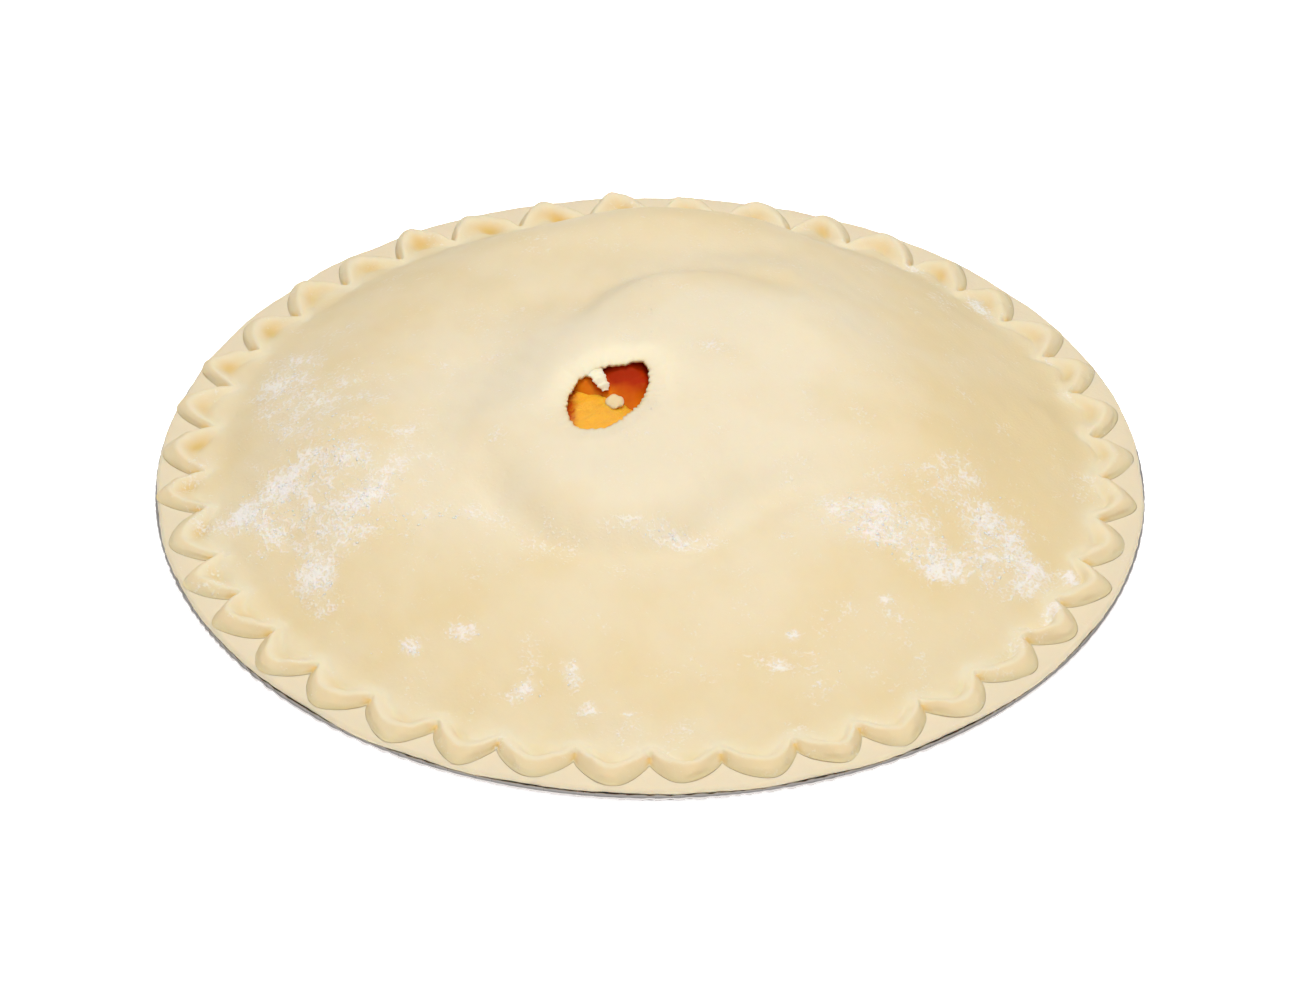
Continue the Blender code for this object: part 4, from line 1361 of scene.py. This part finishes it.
# A clump of flour starts as a regular body of twenty sides
CLUMP_CORNERS = [np.roll(corner, turn) for turn in range(3)
                 for corner in ((-1.0, GOLDEN, 0.0), (1.0, GOLDEN, 0.0), (-1.0, -GOLDEN, 0.0),
                                (1.0, -GOLDEN, 0.0))]
CLUMP_SIDES = ((0, 11, 5), (0, 5, 1), (0, 1, 7), (0, 7, 10), (0, 10, 11), (1, 5, 9), (5, 11, 4),
               (11, 10, 2), (10, 7, 6), (7, 1, 8), (3, 9, 4), (3, 4, 2), (3, 2, 6), (3, 6, 8),
               (3, 8, 9), (4, 9, 5), (2, 4, 11), (6, 2, 10), (8, 6, 7), (9, 8, 1))
CLUMP_SEED = 17
CLUMP_TRIES = 40  # places tried for each clump
CLUMP_REACH = (DOME_EDGE - 0.005) * LIP_RADIUS
CLUMP_FROM_VENT = 1.0 * MM
CLUMP_EVERYWHERE = 0.25  # share that lies outside the sifted streaks
CLUMP_SMALLEST = 0.22
CLUMP_ROUGH = (0.7, 1.3)
CLUMP_STRETCH = (0.8, 1.7)
CLUMP_THICKNESS = 0.25
CLUMP_LIFT = 0.03


def build_flour(dough):
    """Loose clumps of flour on the floured patches."""
    draw = np.random.default_rng(CLUMP_SEED)
    corners = np.array(CLUMP_CORNERS) / math.hypot(1.0, GOLDEN)
    tries = dough.clumps * CLUMP_TRIES
    x = draw.uniform(-CLUMP_REACH, CLUMP_REACH, tries)
    y = draw.uniform(-CLUMP_REACH, CLUMP_REACH, tries)
    share = flour_share(x, y) ** 2.0 * (CLUMP_EVERYWHERE + ease(0.5 + ripple(x, y, "sifted")))
    keep = (np.hypot(x, y) < CLUMP_REACH) & (vent_gap(x, y) > CLUMP_FROM_VENT)
    keep &= draw.uniform(0.0, 1.0, tries) < share
    x, y = x[keep][:dough.clumps], y[keep][:dough.clumps]
    size = CLUMP_SMALLEST + (1.0 - CLUMP_SMALLEST) * draw.uniform(0.0, 1.0, len(x)) ** 3
    size = dough.clump * size[:, None]
    spin = draw.uniform(0.0, TURN, len(x))[:, None]
    shape = corners * draw.uniform(*CLUMP_ROUGH, (len(x), len(corners), 1)) * size[:, :, None]
    u = shape[:, :, 0] * draw.uniform(*CLUMP_STRETCH, len(x))[:, None]
    v = shape[:, :, 1]
    px = x[:, None] + u * np.cos(spin) - v * np.sin(spin)
    py = y[:, None] + u * np.sin(spin) + v * np.cos(spin)
    pz = dough_height(px, py, dough) + CLUMP_THICKNESS * shape[:, :, 2] + CLUMP_LIFT * size
    first = len(corners) * np.arange(len(x))[:, None, None]
    shell = Shell()
    shell.points = [np.stack((px, py, pz), axis=2).reshape(-1, 3)]
    shell.faces = (np.array(CLUMP_SIDES) + first).reshape(-1, 3).tolist()
    return shell.build("flour_clumps", dry_flour(dough))


class PEACHPIE_OT_flour(bpy.types.Operator):
    """Add the loose flour on the lid"""
    bl_idname = "peach_pie.flour"
    bl_label = "Flour"

    def execute(self, context):
        place(build_flour(context.scene.peach_pie_dough), "top_crust")
        return {"FINISHED"}


# ---------- Stage ----------
FLOOR_SIZE = 6.0
FLOOR_DROP = 0.2 * MM
RIM_HEIGHT = 28.5 * MM
AIM_DROP = 4.1 * MM  # the view's centre lies this far below the rim's centre
PIE_MIDDLE = (0.0, 0.0, 0.05)
OVERHEAD = (0.0, 0.0, 1.25)
IN_FRONT = (0.13, -0.64, 1.06)
WHITE = (1.0, 1.0, 1.0, 1.0)
SHADE_ZONE = (0.085, 0.17)  # the floor's shade under the pie ends between these radii
SHADE = 0.32
TENT_HEIGHT = 0.9


def build_floor(stage):
    """A wide pale floor."""
    shell = Shell()
    half = FLOOR_SIZE / 2.0
    shell.points = [np.array([(-half, -half, 0.0), (half, -half, 0.0), (half, half, 0.0),
                              (-half, half, 0.0)])]
    shell.faces = [(0, 1, 2, 3)]
    material, add, shader, where = new_material("pale_studio_floor")
    # Under the pie the floor is in shade, which the foil's wall reflects
    away = add("VectorMath", (where,), "Value", operation="LENGTH")
    shade = add("MapRange", (away, *SHADE_ZONE, SHADE * stage.glow, stage.glow), **SMOOTH)
    reflected = add("LightPath", (), "Is Glossy Ray")
    glow = add("Mix", {0: reflected, 2: stage.glow, 3: shade}, data_type="FLOAT")
    set_inputs(shader, {
        "Base Color": rgba(stage.floor), "Roughness": 0.9, "Specular IOR Level": 0.0,
        "Emission Color": WHITE, "Emission Strength": glow})
    floor = shell.build("studio_floor", material)
    floor.location.z = -FLOOR_DROP
    return floor


def build_light(name, where, size, power):
    """A soft box that faces the pie."""
    lamp = bpy.data.lights.new(name, "AREA")
    lamp.shape = "DISK"
    lamp.size = size
    lamp.energy = power
    holder = bpy.data.objects.new(name, lamp)
    holder.location = where
    holder.rotation_mode = "QUATERNION"
    holder.rotation_quaternion = (Vector(PIE_MIDDLE) - Vector(where)).to_track_quat("-Z", "Y")
    holder.visible_glossy = False
    bpy.context.scene.collection.objects.link(holder)


def build_camera(stage):
    """The camera, at the angle of the real picture."""
    sin_e, cos_e = math.sin(stage.elevation), math.cos(stage.elevation)
    centre = Vector((0.0, 0.0, RIM_HEIGHT))
    where = centre + stage.distance * Vector((0.0, -cos_e, sin_e))
    aim = centre - AIM_DROP * Vector((0.0, sin_e, cos_e))
    data = bpy.data.cameras.new("studio_camera")
    data.lens = stage.lens
    camera = bpy.data.objects.new("studio_camera", data)
    turn = (aim - where).to_track_quat("-Z", "Y").to_matrix().to_4x4()
    camera.matrix_world = Matrix.Translation(where) @ turn @ Matrix.Rotation(stage.roll, 4, "Z")
    bpy.context.scene.collection.objects.link(camera)
    bpy.context.scene.camera = camera


def build_sky(stage):
    """Even light from all round; a white backdrop; a tent, dim at its foot, for reflections."""
    world = bpy.data.worlds.new("studio_sky")
    world.use_nodes = True
    world.node_tree.nodes.clear()
    add = functools.partial(add_node, world.node_tree)
    glossy = add("LightPath", (), "Is Glossy Ray")
    direct = add("LightPath", (), "Is Camera Ray")
    toward = add("TexCoord", (), "Generated")
    height = add("SeparateXYZ", (toward,), "Z")
    shine = add("MapRange", (height, 0.0, TENT_HEIGHT, stage.tent_foot, stage.tent_top))
    sky = add("Background", (WHITE, stage.sky))
    backdrop = add("Background", (WHITE, 1.0))
    tent = add("Background", (WHITE, shine))
    seen = add("MixShader", (glossy, backdrop, tent))
    in_view = add("Math", (direct, glossy), operation="MAXIMUM")
    blend = add("MixShader", (in_view, sky, seen))
    set_inputs(world.node_tree.nodes.new("ShaderNodeOutputWorld"), (blend,))
    bpy.context.scene.world = world


class PEACHPIE_OT_stage(bpy.types.Operator):
    """Add the floor, the soft light and the camera"""
    bl_idname = "peach_pie.stage"
    bl_label = "Stage"

    def execute(self, context):
        stage = context.scene.peach_pie_stage
        build_floor(stage)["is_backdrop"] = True
        build_light("overhead_soft_box", OVERHEAD, stage.box, stage.key)
        build_light("front_soft_box", IN_FRONT, stage.box, stage.front)
        build_camera(stage)
        build_sky(stage)
        context.scene.view_settings.view_transform = "Standard"
        return {"FINISHED"}


class PEACHPIE_PT_panel(bpy.types.Panel):
    """Lists the pieces and their settings"""
    bl_idname = "PEACHPIE_PT_panel"
    bl_label = "Peach Pie"
    bl_space_type = "VIEW_3D"
    bl_region_type = "UI"
    bl_category = "Peach Pie"

    def draw(self, context):
        for operator in OPERATORS:
            self.layout.operator(operator.bl_idname)
        for name, group in GROUPS.items():
            box = self.layout.box()
            for setting in group.__annotations__:
                box.prop(getattr(context.scene, name), setting)


OPERATORS = (
    PEACHPIE_OT_foil_tin, PEACHPIE_OT_bottom_crust, PEACHPIE_OT_filling, PEACHPIE_OT_slice,
    PEACHPIE_OT_top_crust, PEACHPIE_OT_torn_strip, PEACHPIE_OT_flour, PEACHPIE_OT_stage,
)


def register():
    """Register the settings, the operators and the panel."""
    for name, group in GROUPS.items():
        bpy.utils.register_class(group)
        setattr(bpy.types.Scene, name, bpy.props.PointerProperty(type=group))
    for item in (*OPERATORS, PEACHPIE_PT_panel):
        bpy.utils.register_class(item)


def unregister():
    """Take the panel, the operators and the settings out again."""
    for item in (PEACHPIE_PT_panel, *reversed(OPERATORS)):
        bpy.utils.unregister_class(item)
    for name, group in GROUPS.items():
        delattr(bpy.types.Scene, name)
        bpy.utils.unregister_class(group)


def main():
    """Build the pie and its stage, and work out both boxes."""
    register()
    bpy.ops.peach_pie.foil_tin()
    bpy.ops.peach_pie.bottom_crust()
    bpy.ops.peach_pie.filling()
    bpy.ops.peach_pie.slice()
    bpy.ops.peach_pie.top_crust()
    bpy.ops.peach_pie.torn_strip()
    bpy.ops.peach_pie.flour()
    bpy.ops.peach_pie.stage()
    boxes = {"solids": SOLID_BOX, "visual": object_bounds()}
    {name: [list(low), list(high)] for name, (low, high) in boxes.items()}


if __name__ == "__main__":
    main()
